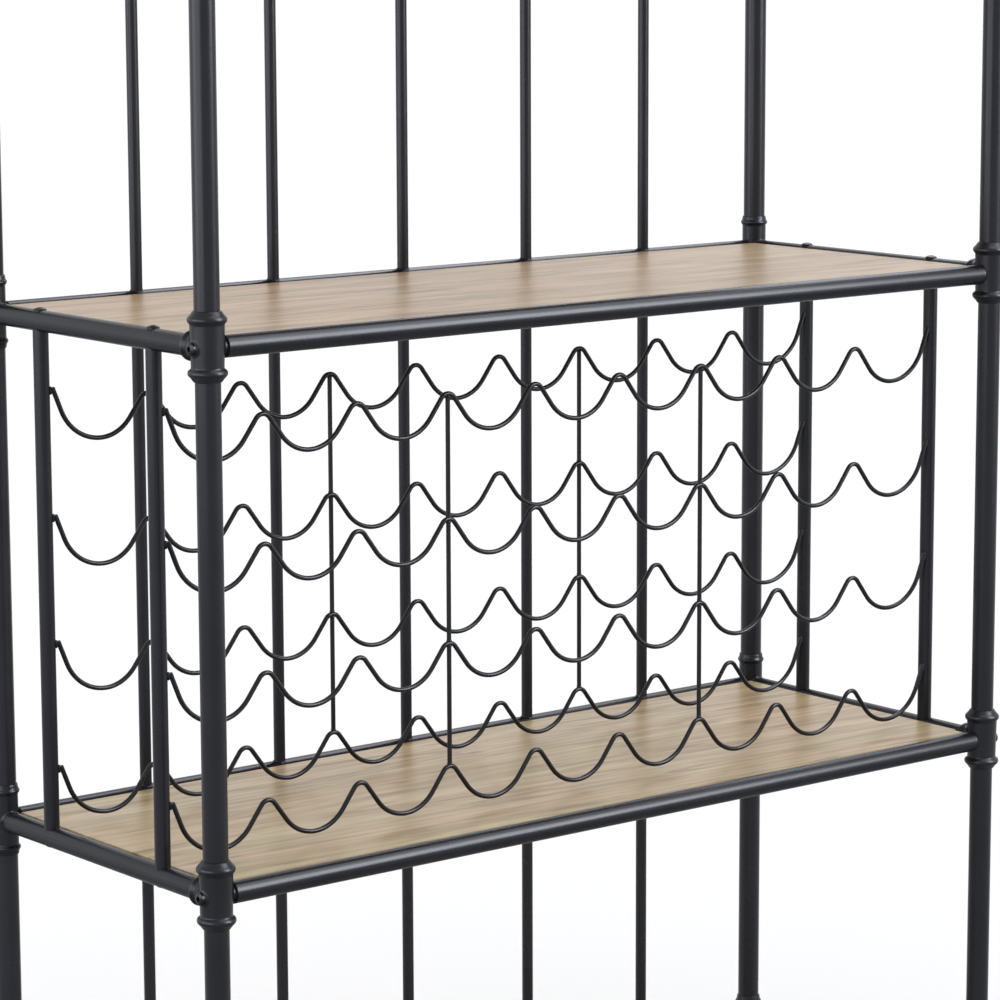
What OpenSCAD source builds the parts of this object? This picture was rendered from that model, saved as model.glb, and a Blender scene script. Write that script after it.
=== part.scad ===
// Tall open shelving unit with a wine rack in one bay. Round corner posts carry tee fittings and
// sleeves at five levels, tube rails frame a wood board at each level, thin bars close the back,
// and eight wavy wires between four uprights cradle the bottles.
// Millimetres. +Z is up and the front faces -Y. The origin is on the floor at the middle of the footprint.

/* [Frame] */
// Distance between the left and right post axes
span_x = 1054; // [800:1:1300]
// Distance between the front and back post axes
span_y = 388; // [330:1:480]
// Height of the lowest rail axis above the floor
base_h = 125; // [70:1:220]
// Rail axis to rail axis in the lowest bay
lower_bay_h = 430; // [300:1:600]
// Rail axis to rail axis in the wine bay
wine_bay_h = 532; // [515:1:700]
// Rail axis to rail axis in the bay above the wine
middle_bay_h = 430; // [300:1:600]
// Rail axis to rail axis in the top bay
upper_bay_h = 430; // [300:1:600]
// Bare post between the highest fitting and its cap
post_show = 6; // [2:1:60]

/* [Tubes] */
// Outside diameter of the corner posts
post_d = 25; // [22:0.5:32]
// Outside diameter of the horizontal rails
rail_d = 22; // [20:0.5:26]
// Outside diameter of the uprights that hold the wine wires
upright_d = 16; // [13:0.5:20]
// Outside diameter of the thin bars at the back
bar_d = 12.7; // [9:0.1:16]
// Wall thickness of every tube
tube_wall = 1.5; // [1:0.1:2]
// Number of thin bars across the back
bar_count = 5; // [3:1:9]

/* [Front tee fittings] */
// Wall of the fitting's body round the post
tee_wall = 3.9; // [3:0.1:6]
// Extra radius of the body at its upper end, less at its lower end
tee_taper = 0.5; // [0:0.1:0.8]
// How far the round beads stand proud of the body
tee_bead_proud = 3; // [2:0.1:4]
// Distance between the upper and lower bead
tee_bead_gap = 51; // [44:1:64]
// Distance from the post axis to the mouth of the side branch
branch_reach = 28; // [24:0.5:32]
// Wall of the side branch round the rail
branch_wall = 1.8; // [1.2:0.1:3]
// How far the bead at the branch's mouth stands proud
branch_bead_proud = 2.2; // [1:0.1:3]

/* [Back sleeve fittings] */
// Wall of the sleeve round the post
sleeve_wall = 1.4; // [1:0.1:3]
// How far the sleeve's beads stand proud
sleeve_bead_proud = 1.8; // [1:0.1:3]
// Distance between the upper and lower bead
sleeve_bead_gap = 60.5; // [50:0.5:72]
// How far the middle of every fitting lies above the rail axis
fitting_rise = 1.5; // [0:0.1:4]

/* [Boards] */
// Thickness of the wood boards
board_t = 15; // [12:0.5:17]
// Clear gap between a board and the rails round it
board_gap = 1; // [0.5:0.1:3]
// How far a board's top lies below the crown of the rails
board_drop = 2.7; // [0.5:0.1:3]
// Length of a board tab along its rail
tab_w = 24; // [16:1:40]
// Reach of a board tab from the rail axis
tab_reach = 32; // [26:1:45]
// Thickness of a board tab
tab_t = 2; // [1.5:0.1:3]
// Distance from a post axis to the nearest board tab
tab_inset = 120; // [60:1:220]

/* [Wine wires] */
// Diameter of the bent wires
wire_d = 5; // [4:0.1:6]
// Bottle spacing that the dips aim for
bottle_pitch = 115; // [112:1:130]
// Radius of a dip, at the wire's axis
dip_r = 44; // [38:1:46]
// Radius of a crest, at the wire's axis
crest_r = 10; // [7:0.5:11]
// Height of a crest above a dip
crest_rise = 41; // [36:1:46]
// Distance between the rows of wire
row_pitch = 130; // [112:1:132]
// Height of the lowest dip above the lower rail axis
first_dip_h = 18; // [16:1:30]
// Height of a wire's welded end above its crests
end_rise = 15; // [12:0.5:20]
// Angle at which the straight ends of a wire climb to their uprights
end_turn = 68; // [64:1:72]
// Distance from a post axis to the nearest upright axis
upright_inset = 92; // [70:1:120]
// Angle by which a wire's end sits round to the front of its upright
weld_turn = 30; // [10:1:45]

/* [Fasteners and ends] */
// Diameter of the bolts' shanks
bolt_d = 6; // [5:0.5:8]
// Diameter of the bolts' heads
bolt_head_d = 13; // [11:0.5:15]
// Height of the bolts' heads
bolt_head_h = 4.5; // [3:0.5:6]
// Length of the threaded plug in a tube's end
plug_len = 18; // [12:1:30]
// Length of a board screw in the wood
screw_len = 11; // [6:0.5:11]
// Diameter of a board screw
screw_d = 4; // [3:0.5:5]
// Height of the plastic glide under a post
glide_h = 7; // [4:0.5:15]
// Length of the glide's plug inside the post
glide_plug_len = 20; // [10:1:40]
// Length of a post cap's skirt
cap_skirt = 20; // [14:1:26]
// Height of a post cap's dome
cap_dome = 6; // [3:0.5:10]
// Height of the dome on a bolt's head
bolt_dome_h = 2; // [1:0.5:2.5]

/* [Hidden] */

// Colours
metal = [0.22, 0.23, 0.25];
casting = [0.25, 0.26, 0.28];
oak = [0.78, 0.70, 0.60];
zinc = [0.62, 0.63, 0.65];
plastic = [0.10, 0.10, 0.11];

// Gap left at a welded seat, and round a piece that slides into another
seat_gap = 0.1;
fit_gap = 0.2;

// How far a cut runs past the faces it opens, and the facets that a preview shows on a round
over = 1;
round_fn = 48;

// Radii
post_r = post_d / 2;
rail_r = rail_d / 2;
upright_r = upright_d / 2;
bar_r = bar_d / 2;
wire_r = wire_d / 2;
bolt_r = bolt_d / 2;
head_r = bolt_head_d / 2;
tee_r = post_r + tee_wall;
tee_bead_r = tee_r + tee_bead_proud;
sleeve_r = post_r + sleeve_wall;
sleeve_bead_r = sleeve_r + sleeve_bead_proud;
branch_r = rail_r + branch_wall;
branch_bead_r = branch_r + branch_bead_proud;

// Round section of the beads, and the cones that close each fitting. A cone starts where its bead
// has turned in by cone_from of its section, and ends with a thin lip on the post.
tee_bead_tube = 4;
sleeve_bead_tube = 2.6;
branch_bead_tube = 3.2;
cone_from = 0.85;
cone_h = 5;
cone_lip = 1.1;

// Flat seats on the fittings, for a rail's end and for a bolt's head
rail_seat_r = rail_r - 2.5;
weld_seat_r = rail_r - 0.4;
rail_seat_proud = 2;
head_seat_r = head_r + 1;
head_seat_proud = 0.8;

// Rail axes: heights of the five levels
levels = [
  base_h,
  base_h + lower_bay_h,
  base_h + lower_bay_h + wine_bay_h,
  base_h + lower_bay_h + wine_bay_h + middle_bay_h,
  base_h + lower_bay_h + wine_bay_h + middle_bay_h + upper_bay_h
];
wine_level = 2;
wine_z = levels[wine_level - 1];
tee_half = collar_half(tee_bead_gap, tee_bead_tube);
sleeve_half = collar_half(sleeve_bead_gap, sleeve_bead_tube);
fitting_top = fitting_rise + max(tee_half, sleeve_half);
top_z = levels[len(levels) - 1] + fitting_top + post_show + cap_skirt;

// Post axes, with the origin in the middle of the footprint
half_x = span_x / 2;
footprint_shift = (tee_bead_r - sleeve_bead_r) / 2;
front_y = footprint_shift - span_y / 2;
back_y = footprint_shift + span_y / 2;

// Boards. A tab's weld bites into its rail, and its hole lies a little outside the middle.
weld_bite = 0.6;
tab_hole_out = 2;
board_top = rail_r - board_drop;
board_low = board_top - board_t;
tab_low = board_low - seat_gap - tab_t;
tab_root = sqrt(rail_r * rail_r - tab_low * tab_low) - weld_bite;
tab_hole_y = (tab_reach + rail_r) / 2 + tab_hole_out;
tab_places = [-(half_x - tab_inset), 0, half_x - tab_inset];
notch_gap = 1.2;

// One wavy wire. A straight flank joins each dip to its crest and is tangent to both.
dips = round((span_x - upright_d) / bottle_pitch);
dip_pitch = (span_x - upright_d) / dips;
half_pitch = dip_pitch / 2;
bend_sum = dip_r + crest_r;
flank = sqrt(half_pitch * half_pitch + crest_rise * crest_rise - 2 * crest_rise * bend_sum);
flank_turn = atan2(bend_sum, flank) + atan2(crest_rise - bend_sum, half_pitch);
first_dip_x = upright_r + half_pitch - half_x;

// A wire's end. Its tip seats on the upright with the rim of its square cut, and the half dip before
// it is bent wider, so that one straight flank leads to the tip.
tip_lean = cos(end_turn) * cos(weld_turn);
tip_r = wire_r * sqrt(1 - tip_lean * tip_lean);
weld_reach = upright_r + tip_r + seat_gap;
end_reach = half_pitch + upright_r - weld_reach * cos(weld_turn);
end_top = crest_rise + end_rise;
end_dip_r = (end_reach - end_top / tan(end_turn)) / tan(end_turn / 2);
end_flank = (end_top - end_dip_r * (1 - cos(end_turn))) / sin(end_turn);

// A straight length seats this far inside each bend and is this much thinner, so that they fuse
lap = 0.4;
lap_slack = 0.02;

front_upright_y = front_y + upright_inset;
back_upright_y = back_y - upright_inset;
tie_steps = [round(dips / 3), round(2 * dips / 3)];
wave_rows = 4;

// Fasteners and ends: how far a plug reaches past its bolt, a cap's top wall, a glide's
// chamfer, and the head of a board screw
plug_spare = 4;
cap_wall = 2;
glide_edge = 1.5;
screw_head_h = 2.4;
screw_crown_d = 5.6;
screw_head_d = 7.6;

// Tube along +Z
module tube(d, h) {
  difference() {
    cylinder(d = d, h = h, $fn = round_fn);
    translate([0, 0, -over]) cylinder(d = d - 2 * tube_wall, h = h + 2 * over, $fn = round_fn);
  }
}

// Rounded ring of the given outer radius, round the Z axis at height z
module bead(outer_r, tube_r, z) {
  translate([0, 0, z]) rotate_extrude($fn = round_fn)
    translate([outer_r - tube_r, 0]) circle(r = tube_r, $fn = 32);
}

// Straight cylinder from the origin along an axis, "x" or "y", to a signed distance
module reach_cylinder(along, reach, r) {
  turn = along == "x" ? [0, sign(reach) * 90, 0] : [-sign(reach) * 90, 0, 0];
  rotate(turn) cylinder(r = r, h = abs(reach), $fn = round_fn);
}

// Half the height of a collar's body and beads, where its end cones start, and of the whole collar
function cone_start(bead_gap, bead_tube) = bead_gap / 2 + bead_tube * cone_from;
function collar_half(bead_gap, bead_tube) = cone_start(bead_gap, bead_tube) + cone_h;

// Closed outer form of a collar: body, two beads, and a cone at each end
module collar_form(low_r, high_r, bead_r, bead_tube, bead_gap) {
  end_z = cone_start(bead_gap, bead_tube);
  cone_r = bead_r - bead_tube / 2;
  translate([0, 0, -bead_gap / 2]) cylinder(r1 = low_r, r2 = high_r, h = bead_gap, $fn = round_fn);
  for (s = [-1, 1]) {
    bead(bead_r, bead_tube, s * bead_gap / 2);
    mirror([0, 0, s < 0 ? 1 : 0])
      translate([0, 0, bead_gap / 2]) cylinder(r = cone_r, h = end_z - bead_gap / 2, $fn = round_fn);
    mirror([0, 0, s < 0 ? 1 : 0])
      translate([0, 0, end_z]) cylinder(r1 = cone_r, r2 = post_r + cone_lip, h = cone_h, $fn = round_fn);
  }
}

// Front tee: the side rail enters its branch, the front rail is bolted to its flat seat.
// side is the direction of the front rail from this post.
module tee(side) {
  color(casting) difference() {
    union() {
      translate([0, 0, fitting_rise])
        collar_form(tee_r - tee_taper, tee_r + tee_taper, tee_bead_r, tee_bead_tube, tee_bead_gap);
      reach_cylinder("y", branch_reach, branch_r);
      rotate([-90, 0, 0])
        bead(branch_bead_r, branch_bead_tube, branch_reach - branch_bead_tube);
      reach_cylinder("x", side * (tee_r + rail_seat_proud), rail_seat_r);
      reach_cylinder("x", -side * (tee_r + head_seat_proud), head_seat_r);
    }
    translate([0, 0, -tee_bead_gap])
      cylinder(r = post_r + fit_gap, h = 2 * tee_bead_gap, $fn = round_fn);
    translate([0, post_r + fit_gap, 0])
      reach_cylinder("y", branch_reach, rail_r + fit_gap);
    translate([-2 * tee_r, 0, 0]) reach_cylinder("x", 4 * tee_r, bolt_r + fit_gap);
  }
}

// Back sleeve: the side rail is welded to one flat seat, the back rail is bolted to the other
module sleeve(side) {
  color(casting) difference() {
    union() {
      translate([0, 0, fitting_rise])
        collar_form(sleeve_r, sleeve_r, sleeve_bead_r, sleeve_bead_tube, sleeve_bead_gap);
      reach_cylinder("y", -(sleeve_r + rail_seat_proud), weld_seat_r);
      reach_cylinder("x", side * (sleeve_r + rail_seat_proud), rail_seat_r);
      reach_cylinder("x", -side * (sleeve_r + head_seat_proud), head_seat_r);
    }
    translate([0, 0, -sleeve_bead_gap])
      cylinder(r = post_r + fit_gap, h = 2 * sleeve_bead_gap, $fn = round_fn);
    translate([-2 * sleeve_r, 0, 0]) reach_cylinder("x", 4 * sleeve_r, bolt_r + fit_gap);
  }
}

// The fittings of one post, one at each level. xs and ys pick the corner, -1 or 1.
module post_fittings(xs, ys) {
  for (z = levels)
    translate([xs * half_x, ys < 0 ? front_y : back_y, z]) {
      if (ys < 0) tee(-xs);
      if (ys > 0) sleeve(-xs);
    }
}

// Corner post with a cross hole for each rail bolt
module post(xs, ys) {
  color(metal) translate([xs * half_x, ys < 0 ? front_y : back_y, 0]) difference() {
    translate([0, 0, glide_h]) tube(post_d, top_z - glide_h);
    for (z = levels)
      translate([-post_d, 0, z]) reach_cylinder("x", 2 * post_d, bolt_r + fit_gap);
  }
}

// Board tab on the +Y side of a rail axis that runs along X
module board_tab() {
  difference() {
    translate([-tab_w / 2, tab_root, tab_low]) cube([tab_w, tab_reach - tab_root, tab_t]);
    translate([0, tab_hole_y, tab_low - over])
      cylinder(d = screw_d + 2 * fit_gap, h = tab_t + 2 * over, $fn = round_fn);
  }
}

// Rail along X with its welded board tabs. ys is -1 at the front and 1 at the back.
function long_rail_half(ys) = half_x - (ys < 0 ? tee_r : sleeve_r) - rail_seat_proud - seat_gap;
module long_rail(level, ys) {
  color(metal) translate([0, ys < 0 ? front_y : back_y, levels[level - 1]]) {
    translate([-long_rail_half(ys), 0, 0]) rotate([0, 90, 0]) tube(rail_d, 2 * long_rail_half(ys));
    for (x = tab_places) translate([x, 0, 0]) mirror([0, ys < 0 ? 0 : 1, 0]) board_tab();
  }
}
module front_rail(level) { long_rail(level, -1); }
module back_rail(level) { long_rail(level, 1); }

// Side rail along Y. The two that carry the uprights have their bolt holes.
side_rail_front = front_y + post_r + 2 * fit_gap;
side_rail_back = back_y - sleeve_r - rail_seat_proud - seat_gap;
module side_rail(level, xs) {
  color(metal) translate([xs * half_x, 0, levels[level - 1]]) difference() {
    translate([0, side_rail_front, 0]) rotate([-90, 0, 0]) tube(rail_d, side_rail_back - side_rail_front);
    if (level == wine_level || level == wine_level + 1)
      for (y = [front_upright_y, back_upright_y])
        translate([0, y, -rail_d]) cylinder(r = bolt_r + fit_gap, h = 2 * rail_d, $fn = round_fn);
  }
}
module left_rail(level) { side_rail(level, -1); }
module right_rail(level) { side_rail(level, 1); }

// Wood board, notched round the front tees and their branches
module shelf_board(level) {
  edge = rail_r + board_gap;
  color(oak) translate([0, 0, levels[level - 1]]) difference() {
    translate([edge - half_x, front_y + edge, board_low])
      cube([span_x - 2 * edge, span_y - 2 * edge, board_t]);
    for (s = [-1, 1]) {
      translate([s * half_x, front_y, board_low - over])
        cylinder(r = tee_r + tee_taper + notch_gap, h = board_t + 2 * over, $fn = round_fn);
      translate([s * half_x - branch_bead_r - notch_gap, front_y, board_low - over])
        cube([2 * (branch_bead_r + notch_gap), branch_reach + notch_gap, board_t + 2 * over]);
      translate([s * half_x, back_y, board_low - over])
        cylinder(r = sleeve_r + notch_gap, h = board_t + 2 * over, $fn = round_fn);
    }
    for (x = tab_places, y = [front_y + tab_hole_y, back_y - tab_hole_y])
      translate([x, y, board_low - over])
        cylinder(d = screw_d + fit_gap, h = screw_len + over + seat_gap, $fn = round_fn);
  }
}

// The thin bars across the back of one bay, saddled to the rails below and above
module back_bars(bay) {
  low = levels[bay - 1];
  high = levels[bay];
  color(metal) for (i = [1 : bar_count])
    translate([span_x * i / (bar_count + 1) - half_x, back_y, 0]) difference() {
      translate([0, 0, low]) tube(bar_d, high - low);
      for (z = [low, high])
        translate([-bar_d, 0, z]) reach_cylinder("x", 2 * bar_d, rail_r + seat_gap);
    }
}

// Tube that holds the wires' ends, saddled to the side rails below and above it
module upright(xs, y) {
  color(metal) translate([xs * half_x, y, wine_z]) difference() {
    tube(upright_d, wine_bay_h);
    upright_saddles();
  }
}
module upright_saddles() {
  for (z = [0, wine_bay_h])
    translate([0, -upright_d, z]) reach_cylinder("y", 2 * upright_d, rail_r + seat_gap);
}

// Round wire bent to a radius, in the XY plane about the origin
module wire_bend(r, from_turn, to_turn) {
  rotate_extrude(angle = to_turn - from_turn, start = from_turn, $fn = 2 * round_fn)
    translate([r, 0]) circle(r = wire_r, $fn = 24);
}

// Straight wire from the origin, at an angle in the XY plane, seated in the bends at its ends
module wire_straight(turn, length, near_lap, far_lap) {
  rotate([0, 0, turn]) rotate([0, 90, 0]) translate([0, 0, -near_lap])
    cylinder(d = wire_d - lap_slack, h = length + near_lap + far_lap, $fn = 24);
}

// Straight flank on the +X side of a dip of radius r, from where its bend has turned that far
module dip_flank(r, turn, length, far_lap) {
  translate([r * sin(turn), r * (1 - cos(turn)), 0]) wire_straight(turn, length, lap, far_lap);
}

// One dip with its two flanks, as seen from the front
module dip() {
  translate([0, dip_r, 0]) wire_bend(dip_r, 270 - flank_turn, 270 + flank_turn);
  for (s = [0, 1]) mirror([s, 0, 0]) dip_flank(dip_r, flank_turn, flank, lap);
}

// The dip at the +X end of a wire. Its two halves have their own radius and meet at the bottom,
// where a short pin inside the wire joins them.
module end_dip() {
  translate([0, dip_r, 0]) wire_bend(dip_r, 270 - flank_turn, 270);
  mirror([1, 0, 0]) dip_flank(dip_r, flank_turn, flank, lap);
  translate([0, end_dip_r, 0]) wire_bend(end_dip_r, 270, 270 + end_turn);
  dip_flank(end_dip_r, end_turn, end_flank, 0);
  wire_straight(0, 0, lap, lap);
}

// Wavy wire of one row, along X in front of or behind the middle of the bay
module wave(row, y) {
  dip_z = wine_z + first_dip_h + (row - 1) * row_pitch;
  color(metal) translate([first_dip_x, y - weld_reach * sin(weld_turn), dip_z]) rotate([90, 0, 0]) {
    mirror([1, 0, 0]) end_dip();
    for (i = [1 : dips - 2]) translate([i * dip_pitch, 0, 0]) dip();
    translate([(dips - 1) * dip_pitch, 0, 0]) end_dip();
    for (i = [1 : dips - 1])
      translate([(i - 0.5) * dip_pitch, crest_rise - crest_r, 0])
        wire_bend(crest_r, 90 - flank_turn, 90 + flank_turn);
  }
}
module front_wave(row) { wave(row, front_upright_y); }
module back_wave(row) { wave(row, back_upright_y); }

// Short rods between the crests of neighbouring rows, in two columns
module tie_rods(y) {
  crest_sag = crest_r - wire_r - sqrt((crest_r - wire_r) * (crest_r - wire_r) - wire_r * wire_r);
  color(metal) for (step = tie_steps, row = [1 : wave_rows - 1]) {
    low = wine_z + first_dip_h + (row - 1) * row_pitch + crest_rise + wire_r + seat_gap;
    high = wine_z + first_dip_h + row * row_pitch + crest_rise - wire_r - crest_sag - seat_gap;
    translate([first_dip_x + (step - 0.5) * dip_pitch, y - weld_reach * sin(weld_turn), low])
      cylinder(d = wire_d, h = high - low, $fn = 24);
  }
}
module front_tie_rods() { tie_rods(front_upright_y); }
module back_tie_rods() { tie_rods(back_upright_y); }

// Bolt with a domed round head. Its seat is at the origin and its shank runs along -Z.
module bolt(length) {
  dome_r = (head_r * head_r + bolt_dome_h * bolt_dome_h) / (2 * bolt_dome_h);
  translate([0, 0, -length]) cylinder(r = bolt_r, h = length + over, $fn = round_fn);
  intersection() {
    cylinder(r = head_r, h = bolt_head_h, $fn = round_fn);
    translate([0, 0, bolt_head_h - dome_r]) sphere(r = dome_r, $fn = 2 * round_fn);
  }
}

// Bolts through the posts into the ends of the front and back rails
module rail_bolts() {
  color(metal) for (z = levels, xs = [-1, 1], ys = [-1, 1]) {
    body_r = ys < 0 ? tee_r : sleeve_r;
    seat = body_r + head_seat_proud + seat_gap;
    length = seat + body_r + rail_seat_proud + seat_gap + plug_len - plug_spare;
    translate([xs * (half_x + seat), ys < 0 ? front_y : back_y, z]) rotate([0, xs * 90, 0]) bolt(length);
  }
}

// Bolts through the side rails into both ends of the uprights
module upright_bolts() {
  length = 2 * rail_r + plug_len - plug_spare;
  color(metal) for (xs = [-1, 1], y = [front_upright_y, back_upright_y]) {
    translate([xs * half_x, y, wine_z - rail_r - seat_gap]) rotate([180, 0, 0]) bolt(length);
    translate([xs * half_x, y, wine_z + wine_bay_h + rail_r + seat_gap]) bolt(length);
  }
}

// Screws up through the board tabs into the boards
module board_screws() {
  color(zinc) for (z = levels, x = tab_places, y = [front_y + tab_hole_y, back_y - tab_hole_y])
    translate([x, y, z + tab_low - seat_gap]) {
      translate([0, 0, -screw_head_h])
        cylinder(d1 = screw_crown_d, d2 = screw_head_d, h = screw_head_h, $fn = round_fn);
      cylinder(d = screw_d, h = tab_t + 2 * seat_gap + screw_len, $fn = round_fn);
    }
}

// Threaded plugs in the ends of the front and back rails
module rail_end_plugs() {
  color(zinc) for (z = levels, xs = [-1, 1], ys = [-1, 1])
    translate([xs * (long_rail_half(ys) - plug_len), ys < 0 ? front_y : back_y, z]) rotate([0, xs * 90, 0])
      difference() {
        cylinder(r = rail_r - tube_wall - seat_gap, h = plug_len, $fn = round_fn);
        translate([0, 0, -over]) cylinder(r = bolt_r + seat_gap, h = plug_len + 2 * over, $fn = round_fn);
      }
}

// Threaded plugs in both ends of the uprights
module upright_end_plugs() {
  color(zinc) for (xs = [-1, 1], y = [front_upright_y, back_upright_y], end = [0, 1])
    translate([xs * half_x, y, wine_z]) difference() {
      translate([0, 0, end * (wine_bay_h - rail_r - plug_len)])
        cylinder(r = upright_r - tube_wall - seat_gap, h = rail_r + plug_len, $fn = round_fn);
      translate([0, 0, -over]) cylinder(r = bolt_r + seat_gap, h = wine_bay_h + 2 * over, $fn = round_fn);
      upright_saddles();
    }
}

// Domed pipe caps that close the tops of the posts
module post_caps() {
  dome_r = (tee_r * tee_r + cap_dome * cap_dome) / (2 * cap_dome);
  wall_h = cap_skirt + cap_wall;
  color(casting) for (xs = [-1, 1], y = [front_y, back_y])
    translate([xs * half_x, y, top_z - cap_skirt]) difference() {
      union() {
        cylinder(r = tee_r, h = wall_h, $fn = round_fn);
        bead(tee_bead_r, tee_bead_tube, tee_bead_tube);
        intersection() {
          cylinder(r = tee_r, h = wall_h + cap_dome, $fn = round_fn);
          translate([0, 0, wall_h + cap_dome - dome_r]) sphere(r = dome_r, $fn = 4 * round_fn);
        }
      }
      translate([0, 0, -over])
        cylinder(r = post_r + fit_gap, h = cap_skirt + over + seat_gap, $fn = round_fn);
    }
}

// Plastic glides pressed into the feet of the posts
module foot_glides() {
  color(plastic) for (xs = [-1, 1], y = [front_y, back_y])
    translate([xs * half_x, y, 0]) {
      cylinder(r1 = post_r - glide_edge, r2 = post_r, h = glide_edge, $fn = round_fn);
      translate([0, 0, glide_edge]) cylinder(r = post_r, h = glide_h - glide_edge, $fn = round_fn);
      cylinder(r = post_r - tube_wall - seat_gap, h = glide_h + glide_plug_len, $fn = round_fn);
    }
}

post(-1, -1);  // post_front_left
post(1, -1);  // post_front_right
post(-1, 1);  // post_back_left
post(1, 1);  // post_back_right
post_fittings(-1, -1);  // front_left_tees
post_fittings(1, -1);  // front_right_tees
post_fittings(-1, 1);  // back_left_sleeves
post_fittings(1, 1);  // back_right_sleeves
front_rail(1);  // front_rail_1
front_rail(2);  // front_rail_2
front_rail(3);  // front_rail_3
front_rail(4);  // front_rail_4
front_rail(5);  // front_rail_5
back_rail(1);  // back_rail_1
back_rail(2);  // back_rail_2
back_rail(3);  // back_rail_3
back_rail(4);  // back_rail_4
back_rail(5);  // back_rail_5
left_rail(1);  // left_rail_1
left_rail(2);  // left_rail_2
left_rail(3);  // left_rail_3
left_rail(4);  // left_rail_4
left_rail(5);  // left_rail_5
right_rail(1);  // right_rail_1
right_rail(2);  // right_rail_2
right_rail(3);  // right_rail_3
right_rail(4);  // right_rail_4
right_rail(5);  // right_rail_5
shelf_board(1);  // shelf_board_1
shelf_board(2);  // shelf_board_2
shelf_board(3);  // shelf_board_3
shelf_board(4);  // shelf_board_4
shelf_board(5);  // shelf_board_5
back_bars(1);  // back_bars_1
back_bars(2);  // back_bars_2
back_bars(3);  // back_bars_3
back_bars(4);  // back_bars_4
upright(-1, front_upright_y);  // upright_front_left
upright(1, front_upright_y);  // upright_front_right
upright(-1, back_upright_y);  // upright_back_left
upright(1, back_upright_y);  // upright_back_right
front_wave(1);  // front_wave_1
front_wave(2);  // front_wave_2
front_wave(3);  // front_wave_3
front_wave(4);  // front_wave_4
back_wave(1);  // back_wave_1
back_wave(2);  // back_wave_2
back_wave(3);  // back_wave_3
back_wave(4);  // back_wave_4
front_tie_rods();
back_tie_rods();
rail_bolts();
upright_bolts();
board_screws();
rail_end_plugs();
upright_end_plugs();
post_caps();
foot_glides();
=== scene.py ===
# %% [markdown]
# A wine rack with shelves, dressed for a product photograph.
# The construction is a finished CAD model: posts, rails, fittings, boards and wires, all at their
# real size. This lesson loads it as a fixed frame and works out, piece by piece, smooth surfaces and
# finishes for it. Everything is in metres, Z is up, and the open front faces -Y.

# %% Load the frame
import math

import bmesh
import bpy
import numpy as np
from mathutils import Matrix, Vector


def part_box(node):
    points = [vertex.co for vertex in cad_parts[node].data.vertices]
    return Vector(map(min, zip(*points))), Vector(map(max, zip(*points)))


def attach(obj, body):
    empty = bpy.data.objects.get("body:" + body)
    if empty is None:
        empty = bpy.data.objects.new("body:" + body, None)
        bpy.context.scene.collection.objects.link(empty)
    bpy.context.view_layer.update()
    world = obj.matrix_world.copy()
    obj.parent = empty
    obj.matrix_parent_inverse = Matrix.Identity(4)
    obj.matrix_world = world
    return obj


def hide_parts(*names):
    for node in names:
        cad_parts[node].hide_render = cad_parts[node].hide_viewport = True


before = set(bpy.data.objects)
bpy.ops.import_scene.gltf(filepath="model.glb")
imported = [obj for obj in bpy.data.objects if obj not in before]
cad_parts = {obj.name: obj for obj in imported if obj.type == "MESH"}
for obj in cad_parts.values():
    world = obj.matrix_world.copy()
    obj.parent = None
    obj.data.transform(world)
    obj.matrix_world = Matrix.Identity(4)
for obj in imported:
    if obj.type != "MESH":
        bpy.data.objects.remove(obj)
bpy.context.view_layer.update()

# %% [markdown]
# Every piece below takes its place from the frame. A rail's box gives its level and its radius, a
# post's box gives its axis. Only what a box can't say, such as a bead's radius, is a named size here,
# in millimetres as a maker would write it.

# %% Places read from the frame
MM = 0.001


def middle(node):
    """The middle of a node's box."""
    low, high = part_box(node)
    return (np.array(low) + np.array(high)) / 2


def extent(node):
    """The size of a node's box along X, Y and Z."""
    low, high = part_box(node)
    return np.array(high) - np.array(low)


CORNERS = ("front_left", "front_right", "back_left", "back_right")
LEVELS = [float(middle(f"left_rail_{k}")[2]) for k in range(1, 6)]
HALF_X = float(middle("post_front_right")[0])
FRONT_Y = float(middle("post_front_left")[1])
BACK_Y = float(middle("post_back_left")[1])
POST_R = float(extent("post_front_left")[0]) / 2
RAIL_R = float(extent("left_rail_1")[2]) / 2
UPRIGHT_R = float(extent("upright_front_left")[0]) / 2
BAR_R = float(extent("back_bars_1")[1]) / 2
print("levels", [round(z, 3) for z in LEVELS])
print("posts at x", round(HALF_X, 4), "y", round(FRONT_Y, 4), round(BACK_Y, 4))

# %% [markdown]
# The camera stands in front of the left end, a little above the upper wine shelf, and looks down a
# few degrees. It sees the wine bay from close by with a long lens, so the posts run out of the frame
# above and below. Its place, turn and lens come from fitting rails and posts of known size to the
# photograph; the few pixels that remain are the keystone that the photograph had taken out.

# %% The camera
CAMERA_PLACE = (-2.5055, -3.0981, 1.5150)
CAMERA_YAW = 38.735
CAMERA_DOWN = 9.302
CAMERA_ROLL = -0.2
PICTURE_PIXELS = 1000
LENS_PIXELS = 3747.0
SENSOR_WIDTH = 36.0

camera_data = bpy.data.cameras.new("camera")
camera_data.sensor_width = SENSOR_WIDTH
camera_data.lens = LENS_PIXELS * SENSOR_WIDTH / PICTURE_PIXELS
camera = bpy.data.objects.new("camera", camera_data)
bpy.context.scene.collection.objects.link(camera)
camera.location = CAMERA_PLACE
yaw = Matrix.Rotation(math.radians(-CAMERA_YAW), 4, "Z")
tilt = Matrix.Rotation(math.radians(90 - CAMERA_DOWN), 4, "X")
roll = Matrix.Rotation(math.radians(CAMERA_ROLL), 4, "Z")
camera.rotation_euler = (yaw @ tilt @ roll).to_euler()
bpy.context.scene.camera = camera
print("lens", round(camera_data.lens, 1), "mm")

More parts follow.
